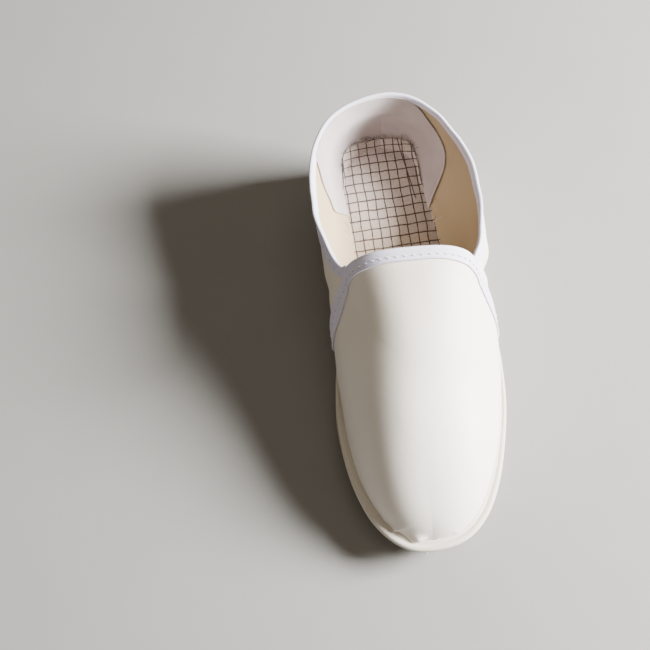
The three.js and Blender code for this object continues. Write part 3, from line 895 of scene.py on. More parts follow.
TOE_PLEATS = (
    Crease(0.962, 7.5, 3.4, 3.6, 0.9, 1.0), Crease(0.982, 7.5, 4.6, 4.2, 1.6, 1.0),
    Crease(0.016, 7.5, 2.6, 3.6, 0.7, 1.0), Crease(0.948, 7.0, 2.5, 3.0, 0.4, 0.6),
    Crease(0.036, 7.0, 2.6, 3.0, 0.35, 0.6),
)
QUARTER_FOLDS = (
    Crease(0.304, 24, 4.5, 16, 1.1), Crease(0.292, 22, 3.4, 15, -1.0), Crease(0.281, 20, 4.0, 14, 0.9),
    Crease(0.27, 18, 3.2, 13, -0.7), Crease(0.332, 22, 7.0, 12, 0.5), Crease(0.705, 22, 5.0, 12, 0.5),
    Crease(0.72, 24, 4.0, 12, -0.45), Crease(0.66, 22, 9.0, 14, 0.5), Crease(0.39, 20, 9.0, 12, -0.4),
)


def fold_out(form: ShoeForm, folds: Sequence[Crease], place: np.ndarray, rise: np.ndarray) -> np.ndarray:
    """How far the folds push the leather out.

    Args:
        form: the last.
        folds: the folds.
        place: foot places.
        rise: heights above the footbed, in metres.

    Returns:
        Distances, in metres.
    """
    girth = 590 * MM
    total = np.zeros(np.broadcast(place, rise).shape)
    for fold in folds:
        away = (np.mod(place - fold.place + 0.5, 1.0) - 0.5) * girth / (fold.half_width * MM)
        high = (rise / MM - fold.height) / fold.half_height
        bump = np.exp(-away * away) * np.exp(-high * high)
        step = 0.5 - 0.5 * np.tanh(away * 5)
        total += fold.depth * MM * bump * (1 - fold.sharp + fold.sharp * step * 1.3)
    return total


def ripples(spot: np.ndarray) -> np.ndarray:
    """The slight unevenness of leather drawn over a last, at points in metres."""
    x, y, z = (spot[..., axis] / MM for axis in range(3))
    slow = np.sin(x / 13 + y / 21 + z / 17) * np.sin(y / 16 - x / 27 + 1)
    quick = np.sin(x / 6.1 - y / 8.3 + 2) * np.sin(y / 5.2 + z / 7.1 + x / 11)
    return (0.17 * slow + 0.035 * quick) * MM


@dataclass
class Vamp:
    """The front of the upper, drawn over the toe and cut to the curved edge under the throat."""

    form: ShoeForm
    out: float = 0.9 * MM
    leather: float = 0.9 * MM

    def surface(self, along: np.ndarray, across: np.ndarray) -> np.ndarray:
        """The vamp's outside, from the toe to its rear edge and from foot to foot."""
        side = across * 2 - 1
        station = along * self.form.vamp_edge(side, self.out)
        plain = self.form.across(station, side, np.full(side.shape, self.out))
        rise = plain[:, 2] - self.form.floor(plain[:, 1])
        place = np.where(side >= 0, station * 0.5, 1 - station * 0.5)
        push = fold_out(self.form, TOE_PLEATS, place, rise) * smooth_step((np.abs(side) - 0.06) / 0.3)
        still = smooth_step((1 - along) / 0.12)
        push = push + ripples(plain) * still * smooth_step(rise / (12 * MM) - 0.4)
        return self.form.across(station, side, self.out + push)

    def build(self, finish: bpy.types.Material) -> bpy.types.Object:
        """Make the vamp with its thickness."""
        piece = lay_sheet("vamp", 200, 220, self.surface)
        thicken(piece, self.leather)
        return carry(piece, "leather", finish, "upper")


@dataclass
class Quarters:
    """The rear of the upper, one piece round the heel with its front ends under the vamp."""

    form: ShoeForm
    leather: float = 0.9 * MM
    front: float = 0.455

    def places(self) -> tuple[float, float]:
        """Foot places of the front ends, outer side first."""
        form = self.form
        half = np.linspace(0, 0.5, 721)
        y = form.edge_at(half, np.full(721, form.flange))[0][:, 1]
        outer = float(np.interp(form.y_at(self.front), y, half))
        y = form.edge_at(1 - half, np.full(721, form.flange))[0][:, 1]
        inner = 1 - float(np.interp(form.y_at(self.front), y, half))
        return outer, inner

    def surface_at(self, out: float, over: float = 0.0) -> Callable[[np.ndarray, np.ndarray], np.ndarray]:
        """A sheet of the wall at a distance out, up to the collar's edge or some way below it."""
        outer, inner = self.places()

        def shape(along: np.ndarray, across: np.ndarray) -> np.ndarray:
            place = outer + (inner - outer) * along
            level = np.full(place.shape, out)
            top = self.form.collar_turn(place, level, np.full(place.shape, over))
            turn = self.form.level_turn(place, self.form.level_of(place, top) * across)
            plain = self.form.wall(place, turn, level)
            rise = plain[:, 2] - self.form.floor(plain[:, 1])
            if out < 0:
                thin = 0.55 * MM * smooth_step((across - 0.8) / 0.2)
                return self.form.wall(place, turn, level + thin - foot_fill(place, rise))
            below = smooth_step((1 - across) / 0.2)
            push = fold_out(self.form, QUARTER_FOLDS, place, rise) * (0.35 + 0.65 * below)
            push = push + ripples(plain)
            return self.form.wall(place, turn, level + push * smooth_step(rise / (9 * MM) - 0.6))

        return shape

    def build(self, finish: bpy.types.Material) -> bpy.types.Object:
        """Make the quarters with their thickness."""
        piece = lay_sheet("quarters", 440, 70, self.surface_at(0.0))
        thicken(piece, self.leather)
        return carry(piece, "leather", finish)


def foot_fill(place: np.ndarray, rise: np.ndarray) -> np.ndarray:
    """How far the lining's foot curves inwards onto the footbed, in metres: most at the shoe's waist."""
    outer = np.mod(place, 1.0) <= 0.5
    heel = np.abs(np.mod(place, 1.0) - 0.5)
    lateral = 7.6 * (0.35 + 0.65 * smooth_step((heel - 0.01) / 0.09))
    medial = 1.6 - 1.6 * smooth_step((heel - 0.02) / 0.06) + 6.0 * smooth_step((heel - 0.08) / 0.1)
    side = np.where(outer, lateral, medial) * MM
    return side * np.clip(1 - rise / (30 * MM), 0, 1) ** 1.7


@dataclass
class InnerLining:
    """The thin lining glued inside the upper, rear part and vamp part."""

    form: ShoeForm
    out: float = -1.8 * MM
    cloth: float = 0.6 * MM

    def build(self, finish: bpy.types.Material) -> list[bpy.types.Object]:
        """Make both parts of the lining."""
        rear = lay_sheet("rear_lining", 300, 60, Quarters(self.form).surface_at(self.out, 0.3 * MM), Facing.IN)

        def under_vamp(along: np.ndarray, across: np.ndarray) -> np.ndarray:
            side = across * 2 - 1
            reach = self.form.vamp_edge(side, 0.9 * MM)
            return self.form.across(along * reach, side, np.full(side.shape, self.out))

        front = lay_sheet("vamp_lining", 80, 110, under_vamp, Facing.IN)
        made = []
        for piece in (rear, front):
            thicken(piece, self.cloth)
            made.append(carry(piece, "felt", finish))
        return made


@dataclass
class ThroatTape:
    """The stitched tape along the vamp's rear edge: folded over it at the throat, flat down to the sole."""

    form: ShoeForm
    width: float = 6.0 * MM
    inside: float = 5.0 * MM
    flare: float = 2.6 * MM
    lip: float = 1.3 * MM
    tape: float = 0.7 * MM

    def seam(self) -> Seam:
        """The vamp's rear edge, from the inner rim of the sole to the outer one."""
        form, out = self.form, 0.9 * MM
        side = np.linspace(-0.99, 0.99, 1400)
        station = form.vamp_edge(side, out)
        point = form.across(station, side, np.full(side.shape, out))
        shown = point[:, 2] > form.floor(point[:, 1]) + form.cup_depth - 0.2 * MM
        surface = lambda a, b, o: form.across(a, b, o)
        return Seam(surface, station[shown], side[shown], out).turned(1)

    def breadth(self, seam: Seam, mark: np.ndarray) -> np.ndarray:
        """How far the tape reaches ahead of the edge: further down the sides, where it isn't folded."""
        z = np.interp(mark, seam.marks, seam.here[:, 2])
        return self.width + self.flare * smooth_step((68 * MM - z) / (16 * MM))

    def shape(self, seam: Seam, along: np.ndarray, across: np.ndarray) -> np.ndarray:
        """The tape's lower face: a flat band ahead of the edge, a rounded lip and a band inside."""
        mark = along * seam.length
        z = np.interp(mark, seam.marks, seam.here[:, 2])
        fold = smooth_step((z - 61 * MM) / (9 * MM))
        flat = np.clip(across / 0.5, 0, 1)
        turned = np.clip((across - 0.5) / 0.2, 0, 1) * np.pi
        back = np.clip((across - 0.7) / 0.3, 0, 1)
        depth = 0.55 * MM + 2.25 * MM * fold
        wave = np.sin(mark / (9 * MM)) * 0.18 * MM + np.sin(mark / (3.7 * MM) + 1) * 0.07 * MM
        end = np.minimum(mark, seam.length - mark)
        splay = 1.1 * MM * np.exp(-((end / (3.2 * MM)) ** 2))
        reach = (self.breadth(seam, mark) + wave + splay) * (1 - flat) + 0.2 * MM * flat
        reach = reach - self.lip * (0.5 + 0.5 * fold) * np.sin(turned) + back * self.inside * fold
        lifted = 0.3 * MM * np.exp(-((flat / 0.06) ** 2)) + 0.9 * MM * np.exp(-((end / (2.6 * MM)) ** 2))
        pinch = 0.16 * MM * np.exp(-(((flat - 0.42) / 0.09) ** 2))
        out = 0.96 * MM + lifted - pinch - depth * (1 - np.cos(turned)) / 2
        return seam.point(mark, reach, out)

    def build(self, finish: bpy.types.Material, thread: bpy.types.Material) -> bpy.types.Object:
        """Make the tape and its stitches."""
        seam = self.seam()
        cloth = lambda a, b: np.stack([a * seam.length, (0.5 - b) * 2 * self.breadth(seam, a * seam.length)], axis=1)
        piece = lay_sheet("throat_binding", 480, 44, lambda a, b: self.shape(seam, a, b), cloth=cloth, judge=(0.0, 0.45))
        thicken(piece, self.tape, 1.0)
        row = StitchRow(seam, 3.5 * MM, 1.68 * MM, stitch=2.7 * MM, thread=0.66 * MM, slant=0.08)
        row.build("throat_stitches", thread, 0.015, 0.985)
        return carry(piece, "tape", finish, "throat_tape")


@dataclass
class CollarTape:
    """The tape folded over the collar's edge, from one throat corner round the heel to the other."""

    form: ShoeForm
    width: float = 6.2 * MM
    inside: float = 1.5 * MM
    tape: float = 0.5 * MM
    front: float = 0.563

    def seam(self) -> Seam:
        """The collar's edge."""
        form = self.form
        outer, inner = Quarters(form, front=self.front).places()
        place = np.linspace(outer, inner, 1600)
        turn = form.collar_turn(place, np.zeros(place.shape), np.zeros(place.shape))
        surface = lambda a, b, o: form.wall(a, form.level_turn(a, b), o)
        return Seam(surface, place, form.level_of(place, turn), 0.0).turned(2)

    def shape(self, seam: Seam, along: np.ndarray, across: np.ndarray) -> np.ndarray:
        """The tape's lower face: a band outside, a rounded top and a narrow band inside."""
        mark = along * seam.length
        flat = np.clip(across / 0.45, 0, 1)
        turned = np.clip((across - 0.45) / 0.25, 0, 1) * np.pi
        back = np.clip((across - 0.7) / 0.3, 0, 1)
        wave = np.sin(mark / (11 * MM)) * 0.22 * MM + np.sin(mark / (4.1 * MM) + 2) * 0.08 * MM
        reach = (self.width + wave) * (1 - flat) + 0.3 * MM * flat
        reach = reach - 0.8 * MM * np.sin(turned) + back * (self.inside + wave * 0.5)
        lifted = 0.12 * MM * np.exp(-((flat / 0.08) ** 2)) - 0.14 * MM * np.exp(-(((flat - 0.3) / 0.1) ** 2))
        out = 0.1 * MM + lifted - 1.5 * MM * (1 - np.cos(turned)) / 2 - 0.25 * MM * back
        place = np.interp(mark, seam.marks, seam.first)
        high = 32 * MM
        out = out + fold_out(self.form, QUARTER_FOLDS, place, np.full(place.shape, high)) * 0.35
        return seam.point(mark, reach, out)

    def build(self, finish: bpy.types.Material, thread: bpy.types.Material) -> bpy.types.Object:
        """Make the tape and its stitches."""
        seam = self.seam()
        cloth = lambda a, b: np.stack([a * seam.length, (0.45 - b) / 0.45 * self.width], axis=1)
        piece = lay_sheet("collar_binding", 560, 36, lambda a, b: self.shape(seam, a, b), cloth=cloth, judge=(0.0, 0.4))
        thicken(piece, self.tape, 1.0)
        StitchRow(seam, self.width * 0.7, 0.62 * MM).build("collar_stitches", thread, 0.03, 0.97)
        return carry(piece, "tape", finish, "collar_tape")


@dataclass
class HeelLining:
    """The felt patch over the inside of the heel, from the footbed to the collar."""

    form: ShoeForm
    out: float = -1.9 * MM
    felt: float = 0.9 * MM

    def surface(self, along: np.ndarray, across: np.ndarray) -> np.ndarray:
        """The patch, read round the heel and up the wall."""
        form = self.form
        half = np.linspace(0, 0.5, 721)
        outer_y = form.edge_at(half, np.full(721, form.flange))[0][:, 1]
        inner_y = form.edge_at(1 - half, np.full(721, form.flange))[0][:, 1]
        guess = 30 + (76 - 30) * across
        outer = np.interp(form.y_at(Column(LINING_EDGE_OUT, "share")(guess)), outer_y, half)
        inner = 1 - np.interp(form.y_at(Column(LINING_EDGE_IN, "share")(guess)), inner_y, half)
        place = outer + (inner - outer) * along
        out = np.full(place.shape, self.out)
        low = form.turn_at(place, np.full(place.shape, 1.6 * MM), out)
        top = form.collar_turn(place, out, np.full(place.shape, 1.2 * MM))
        foot, head = form.level_of(place, low), form.level_of(place, top)
        turn = form.level_turn(place, foot + (head - foot) * across)
        plain = form.wall(place, turn, out)
        rise = plain[:, 2] - form.floor(plain[:, 1])
        rim = np.minimum(along, 1 - along) * 200
        stitched = 0.28 * MM * np.exp(-(((rim - 4.2) / 0.8) ** 2))
        soft = 0.25 * MM * np.sin(along * 23 + across * 5) * np.sin(across * 9 + along * 7)
        thin = 0.55 * MM * smooth_step((across - 0.8) / 0.2)
        return form.wall(place, turn, out - foot_fill(place, rise) + stitched - soft * (1 - across) + thin)

    def build(self, finish: bpy.types.Material) -> bpy.types.Object:
        """Make the patch."""
        cloth = lambda a, b: np.stack([a * 200 * MM, b * 46 * MM], axis=1)
        piece = lay_sheet("heel_felt", 240, 60, self.surface, Facing.IN, cloth)
        thicken(piece, self.felt, 1.0, 0.3 * MM)
        return carry(piece, "felt", finish, "heel_lining")


@dataclass
class Insole:
    """The insole board under a cloth woven with a grid of dark threads, frayed along its edge."""

    form: ShoeForm
    top: float = 3.1 * MM
    seed: int = 11

    def rim(self, along: np.ndarray, rise: np.ndarray) -> np.ndarray:
        """The wall's foot, where the cloth meets it, at heights above the footbed: over the felt at the heel."""
        heel = np.abs(np.mod(along, 1.0) - 0.5)
        felt = 1 - smooth_step((heel - 0.085) / 0.03)
        out = -1.3 * MM - 2.2 * MM * felt - foot_fill(along, rise)
        return self.form.at_height(along, rise, out)

    def turn_up(self, place: np.ndarray) -> np.ndarray:
        """How far the cloth's cut edge climbs the wall: a little all round, most at the heel's two corners."""
        here = np.mod(place, 1.0)
        heel = 5.0 * np.exp(-(((here - 0.5) / 0.05) ** 2))
        inner = 5.6 * np.exp(-(((here - 0.552) / 0.022) ** 2))
        outer = 3.0 * np.exp(-(((here - 0.466) / 0.018) ** 2))
        return (0.8 + heel + inner + outer) * MM

    def surface(self, along: np.ndarray, across: np.ndarray) -> np.ndarray:
        """The cloth, read round the edge and inwards: its rim turned up the wall a little, then the flat."""
        form = self.form
        ragged = 0.35 * MM * np.sin(along * 1700) * np.sin(along * 613 + 1)
        climb = self.turn_up(along) + ragged
        up = np.clip(1 - across / 0.14, 0, 1)
        rim = self.rim(along, self.top + climb * up + 0.3 * MM)
        inward = np.clip((across - 0.14) / 0.86, 0, 1)
        spine = form.spine_at(along, np.full(along.shape, form.flange))
        x = rim[:, 0] + (spine[:, 0] - form.middle_x - rim[:, 0]) * inward
        y = rim[:, 1] + (spine[:, 1] - rim[:, 1]) * inward
        crown = 0.7 * MM * smooth_step(inward / 0.35)
        wave = 0.28 * MM * np.sin(y * 210 + x * 60) * np.sin(x * 160 + 0.6)
        z = form.floor(y) + self.top + 0.3 * MM + climb * up + crown + wave * smooth_step(inward / 0.1)
        return np.stack([x, y, z], axis=1)

    def cloth(self, along: np.ndarray, across: np.ndarray) -> np.ndarray:
        """The cloth's own coordinates: counts of grid cells across and along the shoe."""
        placed = self.surface(along, across)
        x, y = placed[:, 0] / MM + 5.6, placed[:, 1] / MM - 77.17
        y = y + np.maximum(placed[:, 2] - self.form.floor(placed[:, 1]) - self.top - 1 * MM, 0) / MM
        across_cell, along_cell = np.array((5.11, 0.395)), np.array((0.342, -5.84))
        det = across_cell[0] * along_cell[1] - across_cell[1] * along_cell[0]
        first = (x * along_cell[1] - y * along_cell[0]) / det
        second = (across_cell[0] * y - across_cell[1] * x) / det
        return np.stack([first, second], axis=1)

    def threads(self, finish: bpy.types.Material, name: str, count: int, thick: float) -> bpy.types.Object:
        """Loose thread ends that lie from the cloth's edge onto the wall.

        Args:
            finish: their material.
            name: the piece's name.
            count: how many.
            thick: their diameter.

        Returns:
            The threads as one object.
        """
        chance = random.Random(self.seed + count)
        mesh = bmesh.new()
        for _ in range(count):
            place = chance.choice((chance.gauss(0.5, 0.035), chance.uniform(0.36, 0.66)))
            low = self.top + chance.uniform(-1.0, 0.8) * MM + float(self.turn_up(np.array(place)))
            reach, lean = chance.uniform(1.0, 4.2) * MM, chance.uniform(-0.004, 0.004)
            curl = chance.uniform(-0.0015, 0.0015)
            steps = np.linspace(0, 1, 6)
            places = place + lean * steps + curl * np.sin(steps * 5)
            line = self.rim(places, low + reach * steps)
            line = line + (np.array([0.0, 0.06, 0.04]) - line) * 0.012
            self._tube(mesh, line, thick * chance.uniform(0.7, 1.2))
        bmesh.ops.recalc_face_normals(mesh, faces=mesh.faces)
        return carry(as_object(name, mesh), "grid_cloth", finish)

    @staticmethod
    def _tube(mesh: bmesh.types.BMesh, line: np.ndarray, thick: float) -> None:
        """Add a thin square tube along a line, narrowed at its ends."""
        rings = []
        for k, spot in enumerate(line):
            run = Vector(line[min(k + 1, len(line) - 1)] - line[max(k - 1, 0)]).normalized()
            side = run.orthogonal().normalized() * thick / 2
            up = run.cross(side)
            size = 0.5 if k in (0, len(line) - 1) else 1.0
            rings.append([Vector(spot) + turn * size for turn in (side, up, -side, -up)])
        sweep_bar(mesh, np.array(rings))

    def build(self, finish: bpy.types.Material, dark: bpy.types.Material, pale: bpy.types.Material) -> bpy.types.Object:
        """Make the insole and its loose threads."""
        piece = lay_sheet("insole_cloth", 560, 60, self.surface, cloth=self.cloth)
        thicken(piece, 0.5 * MM)
        self.threads(dark, "dark_thread_ends", 60, 0.28 * MM)
        self.threads(pale, "pale_thread_ends", 100, 0.26 * MM)
        return carry(piece, "grid_cloth", finish, "insole")


class Graph:
    """A node tree with short ways to add nodes and join them."""

    def __init__(self, tree: bpy.types.NodeTree) -> None:
        """Keep the tree."""
        self.tree = tree

    def add(self, kind: str, settings: dict | None = None, **inputs: object) -> bpy.types.Node:
        """Add a node.

        Args:
            kind: the node's type, without its ShaderNode prefix.
            settings: properties of the node.
            inputs: values or sockets for its inputs, an underscore standing for a space.

        Returns:
            The node.
        """
        node = self.tree.nodes.new("ShaderNode" + kind)
        for name, value in (settings or {}).items():
            setattr(node, name, value)
        for name, value in inputs.items():
            self.put(node.inputs[name.replace("_", " ")], value)
        return node

    def put(self, socket: bpy.types.NodeSocket, value: object) -> None:
        """Join a socket to an input, or set the input's value."""
        if isinstance(value, bpy.types.NodeSocket):
            self.tree.links.new(value, socket)
        elif isinstance(value, tuple) and len(value) == 3 and socket.type == "RGBA":
            socket.default_value = (*value, 1.0)
        else:
            socket.default_value = value

    def sum(self, kind: str, first: object, second: object = 0.0, third: object = 0.0) -> bpy.types.NodeSocket:
        """Work out a number from up to three others with a Math node."""
        node = self.tree.nodes.new("ShaderNodeMath")
        node.operation = kind
        for socket, value in zip(node.inputs, (first, second, third)):
            self.put(socket, value)
        return node.outputs[0]

    def step(self, value: object, low: float, high: float, start: float = 0.0, end: float = 1.0) -> object:
        """A soft step of a value between low and high."""
        node = self.add("MapRange", {"interpolation_type": "SMOOTHSTEP"}, Value=value, From_Min=low, From_Max=high,
                        To_Min=start, To_Max=end)
        return node.outputs[0]

    def mix(self, factor: object, first: object, second: object) -> bpy.types.NodeSocket:
        """Mix two colours."""
        node = self.tree.nodes.new("ShaderNodeMix")
        node.data_type = "RGBA"
        self.put(node.inputs["Factor"], factor)
        self.put(node.inputs[6], first)
        self.put(node.inputs[7], second)
        return node.outputs[2]

    def noise(self, where: object, scale: float, detail: float = 2.0, rough: float = 0.5) -> bpy.types.NodeSocket:
        """Read soft noise at a place."""
        return self.add("TexNoise", Vector=where, Scale=scale, Detail=detail, Roughness=rough).outputs[0]

    def group(self, tree: bpy.types.NodeTree, **inputs: object) -> bpy.types.Node:
        """Place a shared node group."""
        node = self.tree.nodes.new("ShaderNodeGroup")
        node.node_tree = tree
        for name, value in inputs.items():
            self.put(node.inputs[name.replace("_", " ")], value)
        return node


def shared_group(name: str, inputs: dict[str, tuple[str, float]], outputs: Sequence[str]) -> tuple:
    """Start a shared node group.

    Args:
        name: its name.
        inputs: input names with their socket type and default.
        outputs: names of its number outputs.

    Returns:
        The group's tree, its graph, its input node and its output node.
    """
    tree = bpy.data.node_groups.new(name, "ShaderNodeTree")
    for title, (kind, value) in inputs.items():
        socket = tree.interface.new_socket(title, in_out="INPUT", socket_type=kind)
        if kind == "NodeSocketFloat":
            socket.default_value = value
    for title in outputs:
        tree.interface.new_socket(title, in_out="OUTPUT", socket_type="NodeSocketFloat")
    return tree, Graph(tree), tree.nodes.new("NodeGroupInput"), tree.nodes.new("NodeGroupOutput")


class SharedEffects:
    """The node groups that several finishes use: skin grain, weave and handling marks."""

    def __init__(self) -> None:
        """Build the groups once."""
        self.grain = self._grain()
        self.weave = self._weave()
        self.marks = self._marks()

    @staticmethod
    def _grain() -> bpy.types.NodeTree:
        """Fine pebbled skin of coated leather or moulded foam."""
        tree, graph, given, made = shared_group(
            "fine_grain", {"Vector": ("NodeSocketVector", 0.0), "Scale": ("NodeSocketFloat", 1500.0)}, ("Height",))
        cells = graph.add("TexVoronoi", {"feature": "SMOOTH_F1"}, Vector=given.outputs[0], Scale=given.outputs[1],
                          Smoothness=0.6)
        soft = graph.add("TexNoise", Vector=given.outputs[0], Scale=given.outputs[1], Detail=3.0)
        height = graph.sum("MULTIPLY_ADD", cells.outputs[0], 0.8, soft.outputs[0])
        graph.put(made.inputs[0], height)
        return tree

    @staticmethod
    def _weave() -> bpy.types.NodeTree:
        """Plain weave of rounded threads, on flat coordinates."""
        tree, graph, given, made = shared_group(
            "plain_weave", {"Vector": ("NodeSocketVector", 0.0), "Pitch": ("NodeSocketFloat", 0.0006)},
            ("Height", "Shade"))
        split = graph.add("SeparateXYZ", Vector=given.outputs[0])
        turn = graph.sum("DIVIDE", math.pi, given.outputs[1])
        across = graph.sum("MULTIPLY", split.outputs[0], turn)
        along = graph.sum("MULTIPLY", split.outputs[1], turn)
        ups = graph.sum("MULTIPLY", graph.sum("SINE", across), graph.sum("SINE", along))
        downs = graph.sum("MULTIPLY", graph.sum("COSINE", across), graph.sum("COSINE", along))
        height = graph.sum("MAXIMUM", graph.sum("ABSOLUTE", ups), graph.sum("ABSOLUTE", downs))
        uneven = graph.noise(given.outputs[0], 900.0, 2.0)
        graph.put(made.inputs[0], height)
        graph.put(made.inputs[1], graph.sum("MULTIPLY", height, uneven))
        return tree

    @staticmethod
    def _marks() -> bpy.types.NodeTree:
        """Faint patches of handling, and dust that gathers near the ground."""
        tree, graph, given, made = shared_group(
            "handling_marks", {"Vector": ("NodeSocketVector", 0.0), "Dust Height": ("NodeSocketFloat", 0.02)},
            ("Patches", "Dust"))
        patches = graph.noise(given.outputs[0], 26.0, 4.0, 0.62)
        split = graph.add("SeparateXYZ", Vector=given.outputs[0])
        low = graph.sum("SUBTRACT", 1.0, graph.sum("DIVIDE", split.outputs[2], given.outputs[1]))
        specks = graph.noise(given.outputs[0], 260.0, 3.0, 0.7)
        dust = graph.sum("MULTIPLY", graph.sum("MAXIMUM", low, 0.0), specks)
        graph.put(made.inputs[0], graph.step(patches, 0.35, 0.7))
        graph.put(made.inputs[1], dust)
        return tree


@dataclass(frozen=True)
class Finish:
    """What every finish shares: a name, and the shader's own fixed settings."""

    name: str
    roughness: float = 0.6
    specular: float = 0.4
    sheen: float = 0.0
    bump: float = 0.3

    def start(self) -> tuple[bpy.types.Material, Graph, bpy.types.Node, bpy.types.Node]:
        """Make the material, its graph, its shader and its coordinates."""
        made = bpy.data.materials.new(self.name)
        made.use_nodes = True
        graph = Graph(made.node_tree)
        shader = made.node_tree.nodes["Principled BSDF"]
        shader.inputs["Roughness"].default_value = self.roughness
        shader.inputs["Specular IOR Level"].default_value = self.specular
        shader.inputs["Sheen Weight"].default_value = self.sheen
        shader.inputs["Sheen Roughness"].default_value = 0.6
        return made, graph, shader, graph.add("TexCoord")

    def relief(self, graph: Graph, shader: bpy.types.Node, height: object, distance: float) -> None:
        """Feed a height to the shader as a bump."""
        bump = graph.add("Bump", Strength=self.bump, Distance=distance, Height=height)
        graph.put(shader.inputs["Normal"], bump.outputs[0])


@dataclass(frozen=True)
class CoatedLeather(Finish):
    """White coated microfibre: very fine grain, warmer towards the throat, soft satin gloss."""

    clean: tuple[float, float, float] = (0.87, 0.84, 0.785)
    warm: tuple[float, float, float] = (0.85, 0.79, 0.70)
    soiled: tuple[float, float, float] = (0.66, 0.585, 0.49)

    def build(self, shared: SharedEffects) -> bpy.types.Material:
        """Make the material."""
        made, graph, shader, where = self.start()
        spot = where.outputs["Object"]
        split = graph.add("SeparateXYZ", Vector=spot)
        marks = graph.group(shared.marks, Vector=spot, Dust_Height=0.03)
        grain = graph.group(shared.grain, Vector=spot, Scale=1700.0)
        creamy = graph.step(split.outputs[1], -0.075, 0.03)
        base = graph.mix(creamy, self.clean, self.warm)
        base = graph.mix(graph.sum("MULTIPLY", marks.outputs[0], 0.10), base, self.soiled)
        base = graph.mix(graph.sum("MULTIPLY", marks.outputs[1], 0.12), base, self.soiled)
        fine = graph.step(grain.outputs[0], 0.4, 1.1, 0.0, 0.10)
        graph.put(shader.inputs["Base Color"], graph.mix(fine, base, self.soiled))
        rough = graph.sum("MULTIPLY_ADD", graph.noise(spot, 60.0, 3.0), 0.12, self.roughness - 0.06)
        graph.put(shader.inputs["Roughness"], rough)
        broad = graph.noise(spot, 210.0, 3.0, 0.55)
        height = graph.sum("MULTIPLY_ADD", broad, 1.6, grain.outputs[0])
        self.relief(graph, shader, height, 0.12 * MM)
        return made


@dataclass(frozen=True)
class MouldedFoam(Finish):
    """Cream polyurethane: slightly porous skin, dust in its grooves and near the ground."""

    clean: tuple[float, float, float] = (0.66, 0.62, 0.545)
    soiled: tuple[float, float, float] = (0.46, 0.40, 0.31)

    def build(self, shared: SharedEffects) -> bpy.types.Material:
        """Make the material."""
        made, graph, shader, where = self.start()
        spot = where.outputs["Object"]
        marks = graph.group(shared.marks, Vector=spot, Dust_Height=0.016)
        grain = graph.group(shared.grain, Vector=spot, Scale=2600.0)
        pits = graph.add("TexVoronoi", {"feature": "F1"}, Vector=spot, Scale=420.0)
        pit = graph.step(pits.outputs[0], 0.0, 0.16, 1.0, 0.0)
        base = graph.mix(graph.sum("MULTIPLY", marks.outputs[0], 0.14), self.clean, self.soiled)
        base = graph.mix(graph.sum("MULTIPLY", marks.outputs[1], 0.35), base, self.soiled)
        base = graph.mix(graph.sum("MULTIPLY", pit, 0.12), base, self.soiled)
        graph.put(shader.inputs["Base Color"], base)
        height = graph.sum("MULTIPLY_ADD", pit, -1.2, grain.outputs[0])
        self.relief(graph, shader, height, 0.1 * MM)
        return made


@dataclass(frozen=True)
class WovenTape(Finish):
    """Bluish white satin tape with a fine rib, and needle holes along its stitches, painted dark as painted shade."""

    face: tuple[float, float, float] = (0.76, 0.745, 0.92)
    shade: tuple[float, float, float] = (0.58, 0.54, 0.66)
    # Painted shade colour of the needle holes.
    shaded_needle_hole: tuple[float, float, float] = (0.14, 0.12, 0.15)
    row: float = 3.5 * MM
    pitch: float = 4.3 * MM

    def build(self, shared: SharedEffects) -> bpy.types.Material:
        """Make the material."""
        made, graph, shader, where = self.start()
        flat = where.outputs["UV"]
        weave = graph.group(shared.weave, Vector=flat, Pitch=0.42 * MM)
        split = graph.add("SeparateXYZ", Vector=flat)
        tone = graph.step(weave.outputs[1], 0.15, 0.6)
        base = graph.mix(tone, self.shade, self.face)
        base = graph.mix(0.62, base, self.face)
        marks = graph.group(shared.marks, Vector=where.outputs["Object"], Dust_Height=0.03)
        base = graph.mix(graph.sum("MULTIPLY", marks.outputs[0], 0.12), base, self.shade)
        along = graph.sum("DIVIDE", split.outputs[0], self.pitch)
        beat = graph.sum("ABSOLUTE", graph.sum("SUBTRACT", graph.sum("FRACT", along), 0.02))
        beat = graph.sum("MULTIPLY", beat, self.pitch)
        off = graph.sum("SUBTRACT", split.outputs[1], self.row)
        away = graph.sum("SQRT", graph.sum("ADD", graph.sum("MULTIPLY", beat, beat), graph.sum("MULTIPLY", off, off)))
        shaded_needle_hole = graph.step(away, 0.3 * MM, 0.62 * MM, 1.0, 0.0)
        # Painted shade: the needle holes are painted near black, besides their small dip in the bump.
        graph.put(shader.inputs["Base Color"], graph.mix(graph.sum("MULTIPLY", shaded_needle_hole, 0.85), base, self.shaded_needle_hole))
        height = graph.sum("MULTIPLY_ADD", shaded_needle_hole, -2.5, weave.outputs[0])
        self.relief(graph, shader, height, 0.09 * MM)
        return made


@dataclass(frozen=True)
class Felt(Finish):
    """Soft needled lining, mottled and slightly furry."""

    face: tuple[float, float, float] = (0.48, 0.425, 0.435)
    shade: tuple[float, float, float] = (0.38, 0.325, 0.325)

    def build(self, shared: SharedEffects) -> bpy.types.Material:
        """Make the material."""
        made, graph, shader, where = self.start()
        spot = where.outputs["Object"]
        mottle = graph.noise(spot, 95.0, 5.0, 0.62)
        fur = graph.noise(spot, 2400.0, 3.0, 0.7)
        fibre = graph.add("TexNoise", {"noise_dimensions": "3D"}, Vector=spot, Scale=800.0, Detail=4.0,
                          Distortion=1.6)
        base = graph.mix(graph.step(mottle, 0.32, 0.68), self.shade, self.face)
        base = graph.mix(0.55, base, self.face)
        base = graph.mix(graph.step(fur, 0.35, 0.75, 0.0, 0.22), base, self.shade)
        graph.put(shader.inputs["Base Color"], base)
        height = graph.sum("MULTIPLY_ADD", fibre.outputs[0], 1.4, fur)
        self.relief(graph, shader, height, 0.25 * MM)
        return made


